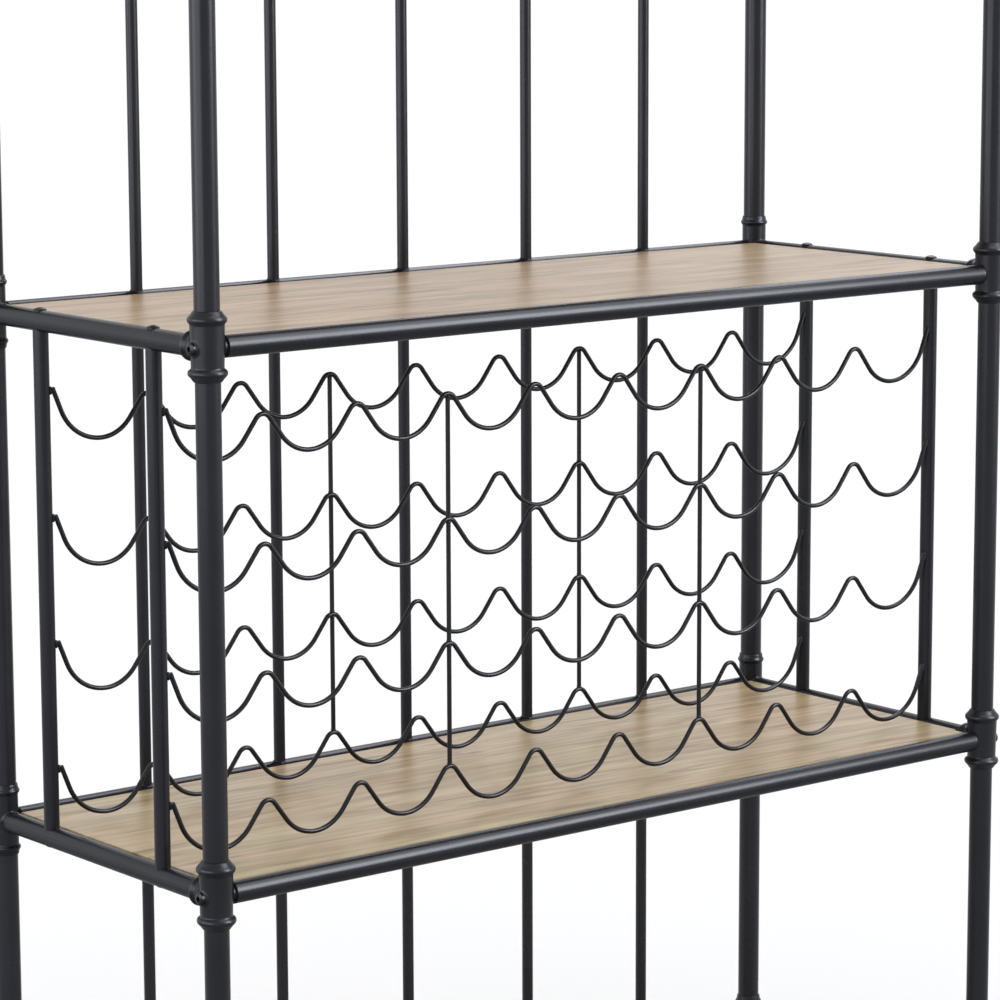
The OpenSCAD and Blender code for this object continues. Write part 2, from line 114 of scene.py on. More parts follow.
# %% [markdown]
# The set is a high-key product studio: a pale floor that runs to the horizon and an evenly bright
# room. On dark tube the picture is made by what the coating reflects, so the softboxes are placed
# by the mirror rule. A rail across the front sends the camera's line of sight to the right and up:
# there the key hangs, a bright panel with a dimmer and larger one round it. An overhead softbox
# lights the rails' crowns. The posts mirror what stands beside the set: a broad panel on the left
# and a narrow one low on the right. The panels are reflections only, and light linking keeps all but
# the one high behind to the coated steel: a lacquered board that mirrored the key would turn white
# when it is seen from behind. The room's even light falls on the boards, so that the wood keeps its
# own colour.

# %% The room
ROOM_WHITE = "#fcfdff"
scene = bpy.context.scene
scene.view_settings.view_transform = "Standard"
scene.view_settings.look = "None"


def linear(hex_colour):
    """A '#rrggbb' sRGB colour as linear red, green, blue and alpha: s / 12.92 for the darkest, and
    ((s + 0.055) / 1.055)^2.4 above them."""
    s = np.array([int(hex_colour[i:i + 2], 16) for i in (1, 3, 5)]) / 255
    return (*np.where(s <= 0.04045, s / 12.92, ((s + 0.055) / 1.055) ** 2.4), 1.0)


world = bpy.data.worlds.new("bright_room")
scene.world = world
world.use_nodes = True
room = world.node_tree.nodes["Background"]
room.inputs["Color"].default_value = linear(ROOM_WHITE)
print("room", world.name, ROOM_WHITE)

# %% Softboxes
PANEL_BLUE = "#f1f6ff"
MIRRORS_PANELS = bpy.data.collections.new("pieces_that_mirror_the_softboxes")
BAY_MIDDLE = np.array((0.0, FRONT_Y, (LEVELS[1] + LEVELS[2]) / 2))
SIGHT_ALONG = math.sin(math.radians(CAMERA_YAW)) * math.cos(math.radians(CAMERA_DOWN))
SIGHT_ACROSS = math.sqrt(1 - SIGHT_ALONG ** 2)


def softbox(name, place, target, width, height, radiance, steel_only=True):
    """A panel at place, facing target, that shows only as a reflection. Its power is its radiance
    times pi times its area."""
    data = bpy.data.lights.new(name, "AREA")
    data.shape = "RECTANGLE"
    data.size = width
    data.size_y = height
    data.energy = radiance * math.pi * width * height
    data.color = linear(PANEL_BLUE)[:3]
    light = bpy.data.objects.new(name, data)
    scene.collection.objects.link(light)
    light.visible_camera = False
    light.visible_diffuse = False
    if steel_only:
        light.light_linking.receiver_collection = MIRRORS_PANELS
    light.location = place
    light.rotation_euler = (Vector(target) - Vector(place)).to_track_quat("-Z", "Y").to_euler()


def seen_in_a_rail(distance, elevation):
    """Where the camera's line of sight ends once a front rail has mirrored it: its part along the
    rail stays, and its part across the rail turns about it, up to the given elevation."""
    turn = math.radians(elevation)
    sight = np.array((SIGHT_ALONG, -SIGHT_ACROSS * math.cos(turn), SIGHT_ACROSS * math.sin(turn)))
    return BAY_MIDDLE + distance * sight


for row in (
        ("key_core", seen_in_a_rail(4.2, 31) - (0.55, 0.1, 0), BAY_MIDDLE, 1.7, 2.0, 14.5),
        ("key_round_it", seen_in_a_rail(4.4, 40) - (0.45, 0.1, 0), BAY_MIDDLE, 2.3, 4.0, 8.0),
        ("high_behind", seen_in_a_rail(4.0, 118), BAY_MIDDLE, 2.4, 2.0, 3.6, False),
        ("overhead", (0.9, 0.1, 3.4), (0.2, 0.0, 1.0), 2.6, 2.4, 3.8),
        ("broad_left", (-3.6, -0.15, 1.8), (-0.5, 0.0, 1.5), 4.4, 2.2, 4.6),
        ("left_quarter", (-4.0, 1.9, 1.65), (-0.5, -0.2, 1.3), 2.6, 1.8, 2.2),
        ("left_behind", (-2.2, 4.0, 2.1), (-0.2, 0.0, 1.4), 5.4, 2.2, 0.4),
        ("strip_low_right", (2.35, -2.45, 1.45), (0.0, 0.0, 1.3), 0.4, 1.8, 4.4)):
    softbox(*row)

# %% [markdown]
# Materials are built from nodes with one small helper. It adds a node, sets its values and links
# its inputs, so that a finish reads like a recipe.

# %% The node helper
def connect(material, node, values=None, links=None):
    """Sets a node's inputs, by name or number: values to numbers, links to (node, output)."""
    for key, value in (values or {}).items():
        node.inputs[key].default_value = value
    for key, (source, output) in (links or {}).items():
        material.node_tree.links.new(source.outputs[output], node.inputs[key])
    return node


def add_node(material, kind, values=None, links=None, stops=(), **settings):
    """Adds a node and connects it. stops are a colour ramp's pairs of position and '#rrggbb'."""
    node = material.node_tree.nodes.new(kind)
    for key, value in settings.items():
        setattr(node, key, value)
    for _ in stops[2:]:
        node.color_ramp.elements.new(0.5)
    for element, (position, colour) in zip(node.color_ramp.elements if stops else (), stops):
        element.position = position
        element.color = linear(colour)
    return connect(material, node, values, links)


def new_material(name):
    """A node material with its shader and a node that gives the surface's own coordinates."""
    material = bpy.data.materials.new(name)
    material.use_nodes = True
    return material, material.node_tree.nodes["Principled BSDF"], add_node(material, "ShaderNodeTexCoord")


print("helpers ready")

# %% [markdown]
# Powder coat: dry polymer powder, baked until it flows. It gives a satin dark grey with a blue cast,
# a fine orange-peel ripple, and no metal sparkle of its own. The real ripple is about 1 mm across;
# on castings it rides on a coarser sand-cast grain. Both patterns are drawn near their real size,
# since the camera sees about one millimetre per pixel. The tubes along the back look a shade lighter
# in the photograph, so they get a copy of the same coat painted a shade lighter: painted light for
# the extra light that falls on the back of the frame. Every finish but the wood starts from soft
# clouds in its colour, so one function lays those.

# %% Powder-coated steel
COAT_CLOUD_MM = 60
MATT_BELOW, MATT_ABOVE = 0.04, 0.05


def clouded(name, cloud_mm, detail, dark, light, values):
    """A material whose colour drifts from dark to light in clouds of a real size. It comes with its
    shader, the surface's own coordinates and the clouds, for the rest of the finish."""
    material, shader, place = new_material(name)
    clouds = add_node(material, "ShaderNodeTexNoise", {"Scale": 1 / (cloud_mm * MM), "Detail": detail},
                      {"Vector": (place, "Object")})
    tint = add_node(material, "ShaderNodeValToRGB", links={"Fac": (clouds, "Fac")},
                    stops=[(0.3, dark), (0.7, light)])
    connect(material, shader, values, {"Base Color": (tint, "Color")})
    return material, shader, place, clouds


def powder_coat(name, dark, light, roughness, gloss, ripple_mm, grain_mm, depth_mm):
    """Satin powder coat. The clouds vary its roughness too, and its height is the sum of a fine
    ripple and a coarser grain. gloss is its specular level."""
    material, shader, place, clouds = clouded(name, COAT_CLOUD_MM, 3.0, dark, light,
                                              {"Specular IOR Level": gloss})
    ripple, grain = (
        add_node(material, "ShaderNodeTexNoise", {"Scale": 1 / (size_mm * MM), "Detail": detail},
                 {"Vector": (place, "Object")})
        for size_mm, detail in ((ripple_mm, 2.0), (grain_mm, 4.0)))
    matt = add_node(material, "ShaderNodeMapRange",
                    {"To Min": roughness - MATT_BELOW, "To Max": roughness + MATT_ABOVE},
                    {"Value": (clouds, "Fac")})
    both = add_node(material, "ShaderNodeMath", links={0: (ripple, "Fac"), 1: (grain, "Fac")},
                    operation="ADD")
    bump = add_node(material, "ShaderNodeBump", {"Strength": 0.5, "Distance": depth_mm * MM},
                    {"Height": (both, "Value")})
    connect(material, shader, links={"Roughness": (matt, "Result"), "Normal": (bump, "Normal")})
    return material


COATED_TUBE = powder_coat("satin_powder_coat_on_tube", "#1b1c22", "#1f2026", 0.26, 0.19, 2.0, 9.0, 0.03)
# The same coat painted a shade lighter: painted light for the extra light on the back of the frame.
COATED_BACK_PAINTED_LIGHTER = powder_coat("satin_powder_coat_painted_lighter_on_back_tubes", "#23242a", "#26272e", 0.26, 0.19, 2.0, 9.0, 0.03)
COATED_CASTING = powder_coat("satin_powder_coat_on_casting", "#14161b", "#1b1d24", 0.30, 0.22, 2.4, 5.0, 0.12)
COATED_WIRE = powder_coat("satin_powder_coat_on_wire", "#18191d", "#1f1f23", 0.30, 0.19, 2.0, 14.0, 0.03)
COATED_BOLT = powder_coat("black_coated_bolt", "#0f0f12", "#141418", 0.28, 0.22, 1.6, 6.0, 0.02)
print("powder coats", [m.name for m in (COATED_TUBE, COATED_BACK_PAINTED_LIGHTER, COATED_CASTING, COATED_WIRE, COATED_BOLT)])

# %% [markdown]
# The boards are veneered with a pale, sandy oak, its grain running along the shelf. A veneer leaf is a
# slice of a log, so each board carries an attribute that says where in its log it was cut. Rings
# round the log's axis meet the slice in long arches. Over them lie soft bands two or three
# centimetres wide, patches from rosy to olive and some brown streaks, each a noise stretched along X
# by its own real length and width. The boards above the wine bay come from a rosier log than the
# lower ones. The lacquer is thin and satin: at a low angle the boards mirror the room, and under each
# bar, where the mirror image is dark, the wood's own deeper colour shows.

# %% Sandy oak veneer
RING_MM = 11
WAVE_PERIOD = 2 * math.pi / 20
# No board lies between these two heights, so each board has one tint.
ROSY_FROM, ROSY_TO = LEVELS[1] + 0.1, LEVELS[2] - 0.1


def oak_veneer():
    """Sandy oak: each layer's pattern picks a tint, and the tints are multiplied one after another
    by their strength, under a satin lacquer."""
    material, shader, place = new_material("sandy_oak_veneer")
    log = add_node(material, "ShaderNodeAttribute", attribute_name="place_in_log")

    def grain(long_mm, wide_mm, detail, distortion):
        """Noise whose features are long_mm along the board and wide_mm across it."""
        across = 1 / (wide_mm * MM)
        scaled = add_node(material, "ShaderNodeMapping", {"Scale": (1 / (long_mm * MM), across, across)},
                          {"Vector": (log, "Vector")})
        return add_node(material, "ShaderNodeTexNoise",
                        {"Scale": 1.0, "Detail": detail, "Distortion": distortion},
                        {"Vector": (scaled, "Vector")})

    pores = grain(22, 0.8, 2.0, 0.0)
    rings = add_node(material, "ShaderNodeTexWave",
                     {"Scale": WAVE_PERIOD / (RING_MM * MM), "Distortion": 3.0, "Detail": 2.0,
                      "Detail Scale": 0.12},
                     {"Vector": (log, "Vector")}, wave_type="RINGS", rings_direction="X")
    height = add_node(material, "ShaderNodeSeparateXYZ", links={"Vector": (place, "Object")})
    rosier = add_node(material, "ShaderNodeMapRange", {"From Min": ROSY_FROM, "From Max": ROSY_TO},
                      {"Value": (height, "Z")})
    layers = [
        ((grain(230, 28, 2.0, 0.9), "Fac"), 1.0,
         [(0.30, "#a7926d"), (0.44, "#c0ac89"), (0.57, "#cdb998"), (0.72, "#d7c6a8")]),
        ((grain(300, 45, 2.0, 0.4), "Fac"), 1.0, [(0.36, "#fff4ea"), (0.64, "#f8f9e9")]),
        ((grain(150, 14, 3.0, 1.0), "Fac"), 0.85, [(0.54, "#ffffff"), (0.72, "#c9ac8e")]),
        ((rings, "Fac"), 0.26, [(0.10, "#d3bd9f"), (0.45, "#ffffff")]),
        ((pores, "Fac"), 0.18, [(0.30, "#b9a78f"), (0.42, "#ffffff")]),
        ((rosier, "Result"), 1.0, [(0.0, "#ffffff"), (1.0, "#f8eeeb")])]
    colour = None
    for pattern, strength, stops in layers:
        tint = add_node(material, "ShaderNodeValToRGB", links={"Fac": pattern}, stops=stops)
        if colour:
            tint = add_node(material, "ShaderNodeMix", {0: strength}, {6: colour, 7: (tint, "Color")},
                            data_type="RGBA", blend_type="MULTIPLY")
        colour = (tint, 2 if colour else "Color")
    matt = add_node(material, "ShaderNodeMapRange", {"To Min": 0.40, "To Max": 0.30},
                    {"Value": (pores, "Fac")})
    bump = add_node(material, "ShaderNodeBump", {"Strength": 0.3, "Distance": 0.04 * MM},
                    {"Height": (pores, "Fac")})
    connect(material, shader, {"Specular IOR Level": 0.45},
            {"Base Color": colour, "Roughness": (matt, "Result"), "Normal": (bump, "Normal")})
    return material


OAK = oak_veneer()
print("wood", OAK.name)

# %% [markdown]
# Two plain finishes are left: zinc plate on the hidden screws and plugs, a real metal with a cloudy
# grey spangle, and moulded black plastic on the glides, which is matt with a fine texture.

# %% Zinc plate and moulded plastic
SPANGLE_MM, GRIT_MM = 3, 0.8
ZINC, shader, _, spangle = clouded("zinc_plate_on_steel", SPANGLE_MM, 4.0, "#a9abae", "#c4c6c9",
                                   {"Metallic": 1.0})
matt = add_node(ZINC, "ShaderNodeMapRange", {"To Min": 0.28, "To Max": 0.5}, {"Value": (spangle, "Fac")})
connect(ZINC, shader, links={"Roughness": (matt, "Result")})
PLASTIC, shader, _, grit = clouded("moulded_black_plastic", GRIT_MM, 2.0, "#141415", "#1b1b1d",
                                   {"Roughness": 0.55})
bump = add_node(PLASTIC, "ShaderNodeBump", {"Strength": 0.4, "Distance": 0.05 * MM},
                {"Height": (grit, "Fac")})
connect(PLASTIC, shader, links={"Normal": (bump, "Normal")})
print("small finishes", ZINC.name, PLASTIC.name)

# %% [markdown]
# The floor is one large matt sheet. It is part of the stage and not of the object. In the photograph
# the undersides of the rails stay dark, as on a set whose floor is kept out of the reflections. So
# reflections pass through the sheet, and the room behind it fades as they point further down.

# %% The floor
FLOOR_HALF = 400.0
PAPER_CLOUD_MM = 1250
ROOM_LIGHT = 1.075
FADE_STARTS, FADE_ENDS, FADED = -0.20, -0.45, 0.4

PAPER = clouded("matt_pale_paper", PAPER_CLOUD_MM, 2.0, "#fdfdfd", "#ffffff",
                {"Roughness": 0.9, "Specular IOR Level": 0.1})[0]
floor_mesh = bpy.data.meshes.new("floor")
corners = np.array([(-1, -1, 0), (1, -1, 0), (1, 1, 0), (-1, 1, 0)]) * FLOOR_HALF
floor_mesh.from_pydata(corners.tolist(), [], [(0, 1, 2, 3)])
floor_mesh.materials.append(PAPER)
floor = bpy.data.objects.new("floor", floor_mesh)
scene.collection.objects.link(floor)
floor.visible_glossy = False
direction = add_node(world, "ShaderNodeTexCoord")
upward = add_node(world, "ShaderNodeSeparateXYZ", links={"Vector": (direction, "Generated")})
fading = add_node(world, "ShaderNodeMapRange",
                  {"From Min": FADE_ENDS, "From Max": FADE_STARTS,
                   "To Min": FADED * ROOM_LIGHT, "To Max": ROOM_LIGHT}, {"Value": (upward, "Z")})
connect(world, room, links={"Strength": (fading, "Result")})
print("floor", 2 * FLOOR_HALF, "m wide, room light", ROOM_LIGHT)

# %% [markdown]
# Every piece is a set of closed surfaces. A surface starts as a grid of points: its rows follow a
# profile or a path and its columns run once round. Neighbouring rows and columns make the faces, so
# numpy can build them all at once, and the sign of the enclosed volume says which way they point.

# %% Surfaces from grids
def grid_faces(rows, columns, rows_wrap):
    """Quads between neighbouring points of a grid numbered row by row, with columns that wrap."""
    row = np.arange(rows if rows_wrap else rows - 1)[:, None]
    column = np.arange(columns)[None, :]
    next_row = (row + 1) % rows
    next_column = (column + 1) % columns
    quads = [row * columns + column, row * columns + next_column,
             next_row * columns + next_column, next_row * columns + column]
    return np.stack(quads, axis=-1).reshape(-1, 4)


def shell(grid, rows_wrap=False):
    """A closed surface from a grid of points, as (points, corners of all faces, face sizes)."""
    rows, columns = grid.shape[:2]
    points = grid.reshape(-1, 3)
    quads = grid_faces(rows, columns, rows_wrap)
    a, b, c, d = (points[quads[:, k]] for k in range(4))
    volume = (a * np.cross(b, c)).sum() + (a * np.cross(c, d)).sum()
    quads = quads if volume > 0 else quads[:, ::-1]
    return points, quads.reshape(-1), np.full(len(quads), 4)


def mesh_from(name, shells):
    """One mesh from several surfaces. Points that coincide, as at a pole, are merged."""
    starts = np.cumsum([0] + [len(s[0]) for s in shells[:-1]])
    points = np.concatenate([s[0] for s in shells])
    corners = np.concatenate([s[1] + start for s, start in zip(shells, starts)])
    sizes = np.concatenate([s[2] for s in shells])
    mesh = bpy.data.meshes.new(name)
    mesh.vertices.add(len(points))
    mesh.vertices.foreach_set("co", points.astype(np.float32).ravel())
    mesh.loops.add(len(corners))
    mesh.loops.foreach_set("vertex_index", corners.astype(np.int32))
    mesh.polygons.add(len(sizes))
    mesh.polygons.foreach_set("loop_start", np.concatenate([[0], np.cumsum(sizes)[:-1]]).astype(np.int32))
    mesh.update(calc_edges=True)
    work = bmesh.new()
    work.from_mesh(mesh)
    bmesh.ops.remove_doubles(work, verts=work.verts, dist=1e-7)
    work.to_mesh(mesh)
    work.free()
    return mesh


def finish_piece(name, node, shells, material, sharp=38):
    """Makes a piece of closed surfaces in place of a CAD node. It is smooth, but crisp where faces
    meet at more than sharp degrees, and it has its finish."""
    mesh = mesh_from(node, shells)
    mesh.materials.append(material)
    mesh.shade_smooth()
    mesh.set_sharp_from_angle(angle=math.radians(sharp))
    piece = bpy.data.objects.new(name, mesh)
    scene.collection.objects.link(piece)
    if material is not OAK:
        MIRRORS_PANELS.objects.link(piece)
    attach(piece, "root")
    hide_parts(node)
    return piece


print("grid tools ready")

# %% [markdown]
# Most pieces are turned or drawn: a profile of radius and height, spun round an axis. Spinning
# always starts about Z. Swapping the coordinates in a circle then aims the axis along X or Y without
# mirroring anything.

# %% Turned surfaces
SIDES = 48
TUBE_WALL = 1.5 * MM
AXIS_ORDER = {"x": (2, 0, 1), "y": (1, 2, 0), "z": (0, 1, 2)}


def once_round(count):
    """Angles that divide a full turn into equal parts."""
    return np.linspace(0, 2 * np.pi, count, endpoint=False)


def arc(radius, height, r, start, stop, count):
    """Points of an arc in a profile: the centre (radius, height) plus r (cos a, sin a), with the
    angle a from start to stop in degrees."""
    turn = np.radians(np.linspace(start, stop, count))
    return np.stack([radius + r * np.cos(turn), height + r * np.sin(turn)], axis=-1)


def profile(*parts):
    """A profile from points and arcs, one after another."""
    return np.concatenate([np.atleast_2d(np.array(p, float)) for p in parts])


def spun(shape, sides):
    """The grid of a profile of (r, height) spun round Z: (r cos a, r sin a, height)."""
    turn = once_round(sides)[None, :]
    radius, height = shape[:, :1], shape[:, 1:]
    return np.stack([radius * np.cos(turn), radius * np.sin(turn), height + 0 * turn], axis=-1)


def aimed(grid, axis, centre=(0, 0, 0)):
    """A grid made round Z, with its axis turned to X, Y or Z and its origin moved to centre."""
    return grid[..., AXIS_ORDER[axis]] + np.array(centre)


def turned(shape, axis="z", centre=(0, 0, 0), sides=SIDES, rows_wrap=False):
    """A profile spun round an axis, as a closed surface. The rows of a closed profile wrap."""
    return shell(aimed(spun(shape, sides), axis, centre), rows_wrap)


def tube(axis, centre, outer, low, high, ease=0.3 * MM):
    """A round tube along an axis, from low to high. Its section is the wall, with eased rims."""
    inner = outer - TUBE_WALL
    wall = profile((outer, low + ease), (outer, high - ease), (outer - ease, high), (inner + ease, high),
                   (inner, high - ease), (inner, low + ease), (inner + ease, low), (outer - ease, low))
    return turned(wall, axis, centre, rows_wrap=True)


print("sides of a turned surface", SIDES)

# %% [markdown]
# The four posts are the simplest: one drawn tube each, from the glide to the cap.

# %% Corner posts
for corner in CORNERS:
    node = f"post_{corner}"
    low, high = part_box(node)
    x, y, _ = middle(node)
    post = tube("z", (x, y, 0), POST_R, low.z, high.z)
    # The back posts take the coat painted a shade lighter, as painted light.
    coat = COATED_BACK_PAINTED_LIGHTER if "back" in corner else COATED_TUBE
    finish_piece(f"{node}_tube", node, [post], coat)
print("posts", POST_R * 2000, "mm across")

# %% [markdown]
# The front and back rails carry three small tabs each, welded on below the board, with a hole for
# its screw. A tab is a plate with a hole: rings run from the hole's rim out to the plate's edge and
# back on the other side, so the whole plate closes like a flat ring.

# %% Rails across the front and back
TAB_LOW = -8.8 * MM
TAB_T = 2 * MM
TAB_REACH = 32 * MM
TAB_W = 24 * MM
TAB_INSET = 120 * MM
TAB_HOLE_Y = 29 * MM
TAB_HOLE_R = 2.2 * MM
TAB_ROOT_Y = 6.0 * MM
TAB_SIDES = 64
TAB_WELD_R = 1.4 * MM
TAB_WELD_OUT = 0.6 * MM
TAB_WELD_HALF = TAB_W / 2 - 1.5 * MM


def holed_plate():
    """A tab's plate with its round hole. Rays from the hole's middle stop at its rim and at the
    plate's edge, which a ray at angle a meets at the lesser of W / (2 |cos a|) and, with the distance
    e to the end that it looks at, e / |sin a|."""
    turn = once_round(TAB_SIDES)
    ray_x, ray_y = np.cos(turn), np.sin(turn)
    to_side = TAB_W / 2 / np.maximum(np.abs(ray_x), 1e-9)
    to_end = np.where(ray_y > 0, TAB_REACH - TAB_HOLE_Y, TAB_HOLE_Y - TAB_ROOT_Y)
    edge = np.minimum(to_side, to_end / np.maximum(np.abs(ray_y), 1e-9))
    rim = TAB_HOLE_R + 0 * edge
    reach = np.stack([rim, edge, edge, rim])
    height = np.array([TAB_LOW, TAB_LOW, TAB_LOW + TAB_T, TAB_LOW + TAB_T])[:, None] + 0 * edge
    return np.stack([reach * ray_x, TAB_HOLE_Y + reach * ray_y, height], axis=-1)


def capsule(axis, centre, half, radius, sides=12):
    """A short rod with round ends along an axis, as a run of weld."""
    shape = profile(arc(0, -half, radius, -90, 0, 5), arc(0, half, radius, 0, 90, 5))
    return turned(shape, axis, centre, sides)


def long_rail(node, z, towards_back):
    """A rail with its three tabs and their welds. towards_back is 1 in front and -1 at the back."""
    low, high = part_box(node)
    y = FRONT_Y if towards_back > 0 else BACK_Y
    parts = [tube("x", (0, y, z), RAIL_R, low.x, high.x)]
    for x in (-(HALF_X - TAB_INSET), 0.0, HALF_X - TAB_INSET):
        plate = holed_plate() * (1, towards_back, 1) + np.array((x, y, z))
        parts.append(shell(plate, rows_wrap=True))
        weld_y = y + towards_back * (TAB_ROOT_Y + TAB_WELD_OUT)
        parts.append(capsule("x", (x, weld_y, z + TAB_LOW), TAB_WELD_HALF, TAB_WELD_R))
    return parts


for k, z in enumerate(LEVELS, 1):
    for side, towards_back in (("front", 1), ("back", -1)):
        node = f"{side}_rail_{k}"
        parts = long_rail(node, z, towards_back)
        finish_piece(f"{side}_rail_tube_{k}", node, parts, COATED_TUBE)
print("long rails", 2 * len(LEVELS), "with 3 tabs each")

# %% [markdown]
# A side rail slips into the front tee's branch and is welded to the back sleeve. The weld is a ring
# with a slight ripple, as a torch leaves it. The thin bars get such rings too, further down.

# %% Rails at the sides
RIPPLE = 0.12
SIDE_WELD_R = RAIL_R - 1.0 * MM
SIDE_WELD_BEAD = 1.5 * MM


def ring_of_weld(ring_r, bead_r, ripples, count, sides):
    """The grid of a ring of weld round Z: a small circle (s cos b, s sin b) carried round a large
    one, where s = bead_r (1 + RIPPLE sin(ripples a)) swells a little at each ripple."""
    turn = once_round(count)[:, None]
    section = once_round(sides)[None, :]
    swell = bead_r * (1 + RIPPLE * np.sin(ripples * turn))
    out = ring_r + swell * np.cos(section)
    return np.stack([out * np.cos(turn), out * np.sin(turn), swell * np.sin(section)], axis=-1)


for side in ("left", "right"):
    for k in range(1, len(LEVELS) + 1):
        node = f"{side}_rail_{k}"
        low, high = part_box(node)
        x, _, z = middle(node)
        ring = ring_of_weld(SIDE_WELD_R, SIDE_WELD_BEAD, ripples=22, count=88, sides=10)
        parts = [tube("y", (x, 0, z), RAIL_R, low.y, high.y),
                 shell(aimed(ring, "y", (x, high.y, z)), rows_wrap=True)]
        finish_piece(f"{side}_rail_tube_{k}", node, parts, COATED_TUBE)
print("side rails", 2 * len(LEVELS))

# %% [markdown]
# The fittings are castings: a body round the post with a bead above and below, bosses for the rail
# and the bolt, and on the front ones a branch that takes the side rail. A casting has no sharp inner
# corners, and a fillet between crossing cylinders is hard to write as one grid. So the form is
# written as a distance: how far a point lies outside each simple shape. The least of these distances
# is zero on the joined form, and a softened least rounds every inner corner. A voxel remesh of the
# stacked shapes gives a skin near that form, and each of its points then slides down the distance
# until it reaches zero. The bores are cut afterwards, so that they stay crisp.

# %% Profiles of the cast fittings
TEE_R = POST_R + 3.9 * MM
TEE_TAPER = 0.5 * MM
TEE_BEAD_R = TEE_R + 2.94 * MM
TEE_BEAD_TUBE = 4 * MM
TEE_BEAD_GAP = 51 * MM
SLEEVE_R = POST_R + 1.4 * MM
SLEEVE_BEAD_R = SLEEVE_R + 1.8 * MM
SLEEVE_BEAD_TUBE = 2.6 * MM
SLEEVE_BEAD_GAP = 60.5 * MM
FITTING_RISE = 1.5 * MM
BRANCH_R = RAIL_R + 1.8 * MM
BRANCH_BEAD_R = BRANCH_R + 2.2 * MM
BRANCH_BEAD_TUBE = 3.2 * MM
BRANCH_REACH = 28 * MM
CONE_FROM = 0.85
CONE_H = 5 * MM
CONE_LIP = 1.1 * MM
RAIL_SEAT_R = RAIL_R - 2.5 * MM
WELD_SEAT_R = RAIL_R - 0.4 * MM
RAIL_SEAT_PROUD = 2 * MM
HEAD_R = 6.5 * MM
HEAD_SEAT_R = HEAD_R + 1 * MM
HEAD_SEAT_PROUD = 0.8 * MM
# A collar: the body's radius below and above, the beads' outer radius and thickness, their spacing.
TEE_COLLAR = (TEE_R - TEE_TAPER, TEE_R + TEE_TAPER, TEE_BEAD_R, TEE_BEAD_TUBE, TEE_BEAD_GAP)
SLEEVE_COLLAR = (SLEEVE_R, SLEEVE_R, SLEEVE_BEAD_R, SLEEVE_BEAD_TUBE, SLEEVE_BEAD_GAP)
# A boss: its axis, how far it reaches along it from the post's axis, and its radius.
TEE_BOSSES = (("x", TEE_R + RAIL_SEAT_PROUD, RAIL_SEAT_R), ("x", -TEE_R - HEAD_SEAT_PROUD, HEAD_SEAT_R))
SLEEVE_BOSSES = (("y", -SLEEVE_R - RAIL_SEAT_PROUD, WELD_SEAT_R),
                 ("x", SLEEVE_R + RAIL_SEAT_PROUD, RAIL_SEAT_R),
                 ("x", -SLEEVE_R - HEAD_SEAT_PROUD, HEAD_SEAT_R))
print("tee body", round(TEE_R * 1000, 1), "mm, beads", round(TEE_BEAD_R * 1000, 1), "mm")

# %% The solids that cross in a fitting
BODY_TO_BEAD = 0.98
BRANCH_TO_BEAD = 2.2


def cylinder(axis, low, high, radius):
    """A closed cylinder round an axis through the origin, from low to high."""
    return turned(profile((0, low), (radius, low), (radius, high), (0, high)), axis)


def collar(low_r, high_r, bead_r, bead_tube, gap):
    """The solid collar, spun from its profile: pole, end cone, bead, body, bead, end cone, pole."""
    ring = bead_r - bead_tube
    body_end = gap / 2 - bead_tube * BODY_TO_BEAD
    tip = gap / 2 + bead_tube * CONE_FROM + CONE_H
    shape = profile((0, -tip), (POST_R + CONE_LIP, -tip), arc(ring, -gap / 2, bead_tube, -58, 62, 14),
                    (low_r, -body_end), (high_r, body_end), arc(ring, gap / 2, bead_tube, -62, 58, 14),
                    (POST_R + CONE_LIP, tip), (0, tip))
    return turned(shape, "z", (0, 0, FITTING_RISE))


def branch():
    """The side branch of a front tee, with the bead at its mouth."""
    ring = BRANCH_BEAD_R - BRANCH_BEAD_TUBE
    bead = arc(ring, BRANCH_REACH - BRANCH_BEAD_TUBE, BRANCH_BEAD_TUBE, -70, 90, 16)
    shape = profile((0, 0), (BRANCH_R, 0), (BRANCH_R, BRANCH_REACH - BRANCH_TO_BEAD * BRANCH_BEAD_TUBE), bead,
                    (0, BRANCH_REACH))
    return turned(shape, "y")


def bosses(rows):
    """A cylinder for each boss, from the post's axis outwards."""
    return [cylinder(axis, min(reach, 0), max(reach, 0), radius) for axis, reach, radius in rows]


tee_solids = [collar(*TEE_COLLAR), branch(), *bosses(TEE_BOSSES)]
sleeve_solids = [collar(*SLEEVE_COLLAR), *bosses(SLEEVE_BOSSES)]
print("solids in a tee", len(tee_solids), "in a sleeve", len(sleeve_solids))

# %% Distances to simple forms
BEAD_FILLET = 1.6 * MM


def softened_least(a, b, fillet):
    """The lesser of two distances, blended where they differ by less than fillet:
    b + (a - b) h - fillet h (1 - h), with h = 1/2 + (b - a) / (2 fillet), held within 0..1."""
    h = np.clip(0.5 + 0.5 * (b - a) / fillet, 0, 1)
    return b + (a - b) * h - fillet * h * (1 - h)


def rod_distance(along, across, low, high, radius):
    """Distance to a rod, for points at along its axis and across from it. Inside it is the greater of
    the distances to the side and to the end; beside a rim it is the two taken together."""
    side = across - radius
    end = np.abs(along - (low + high) / 2) - (high - low) / 2
    return np.minimum(np.maximum(side, end), 0) + np.hypot(np.maximum(side, 0), np.maximum(end, 0))


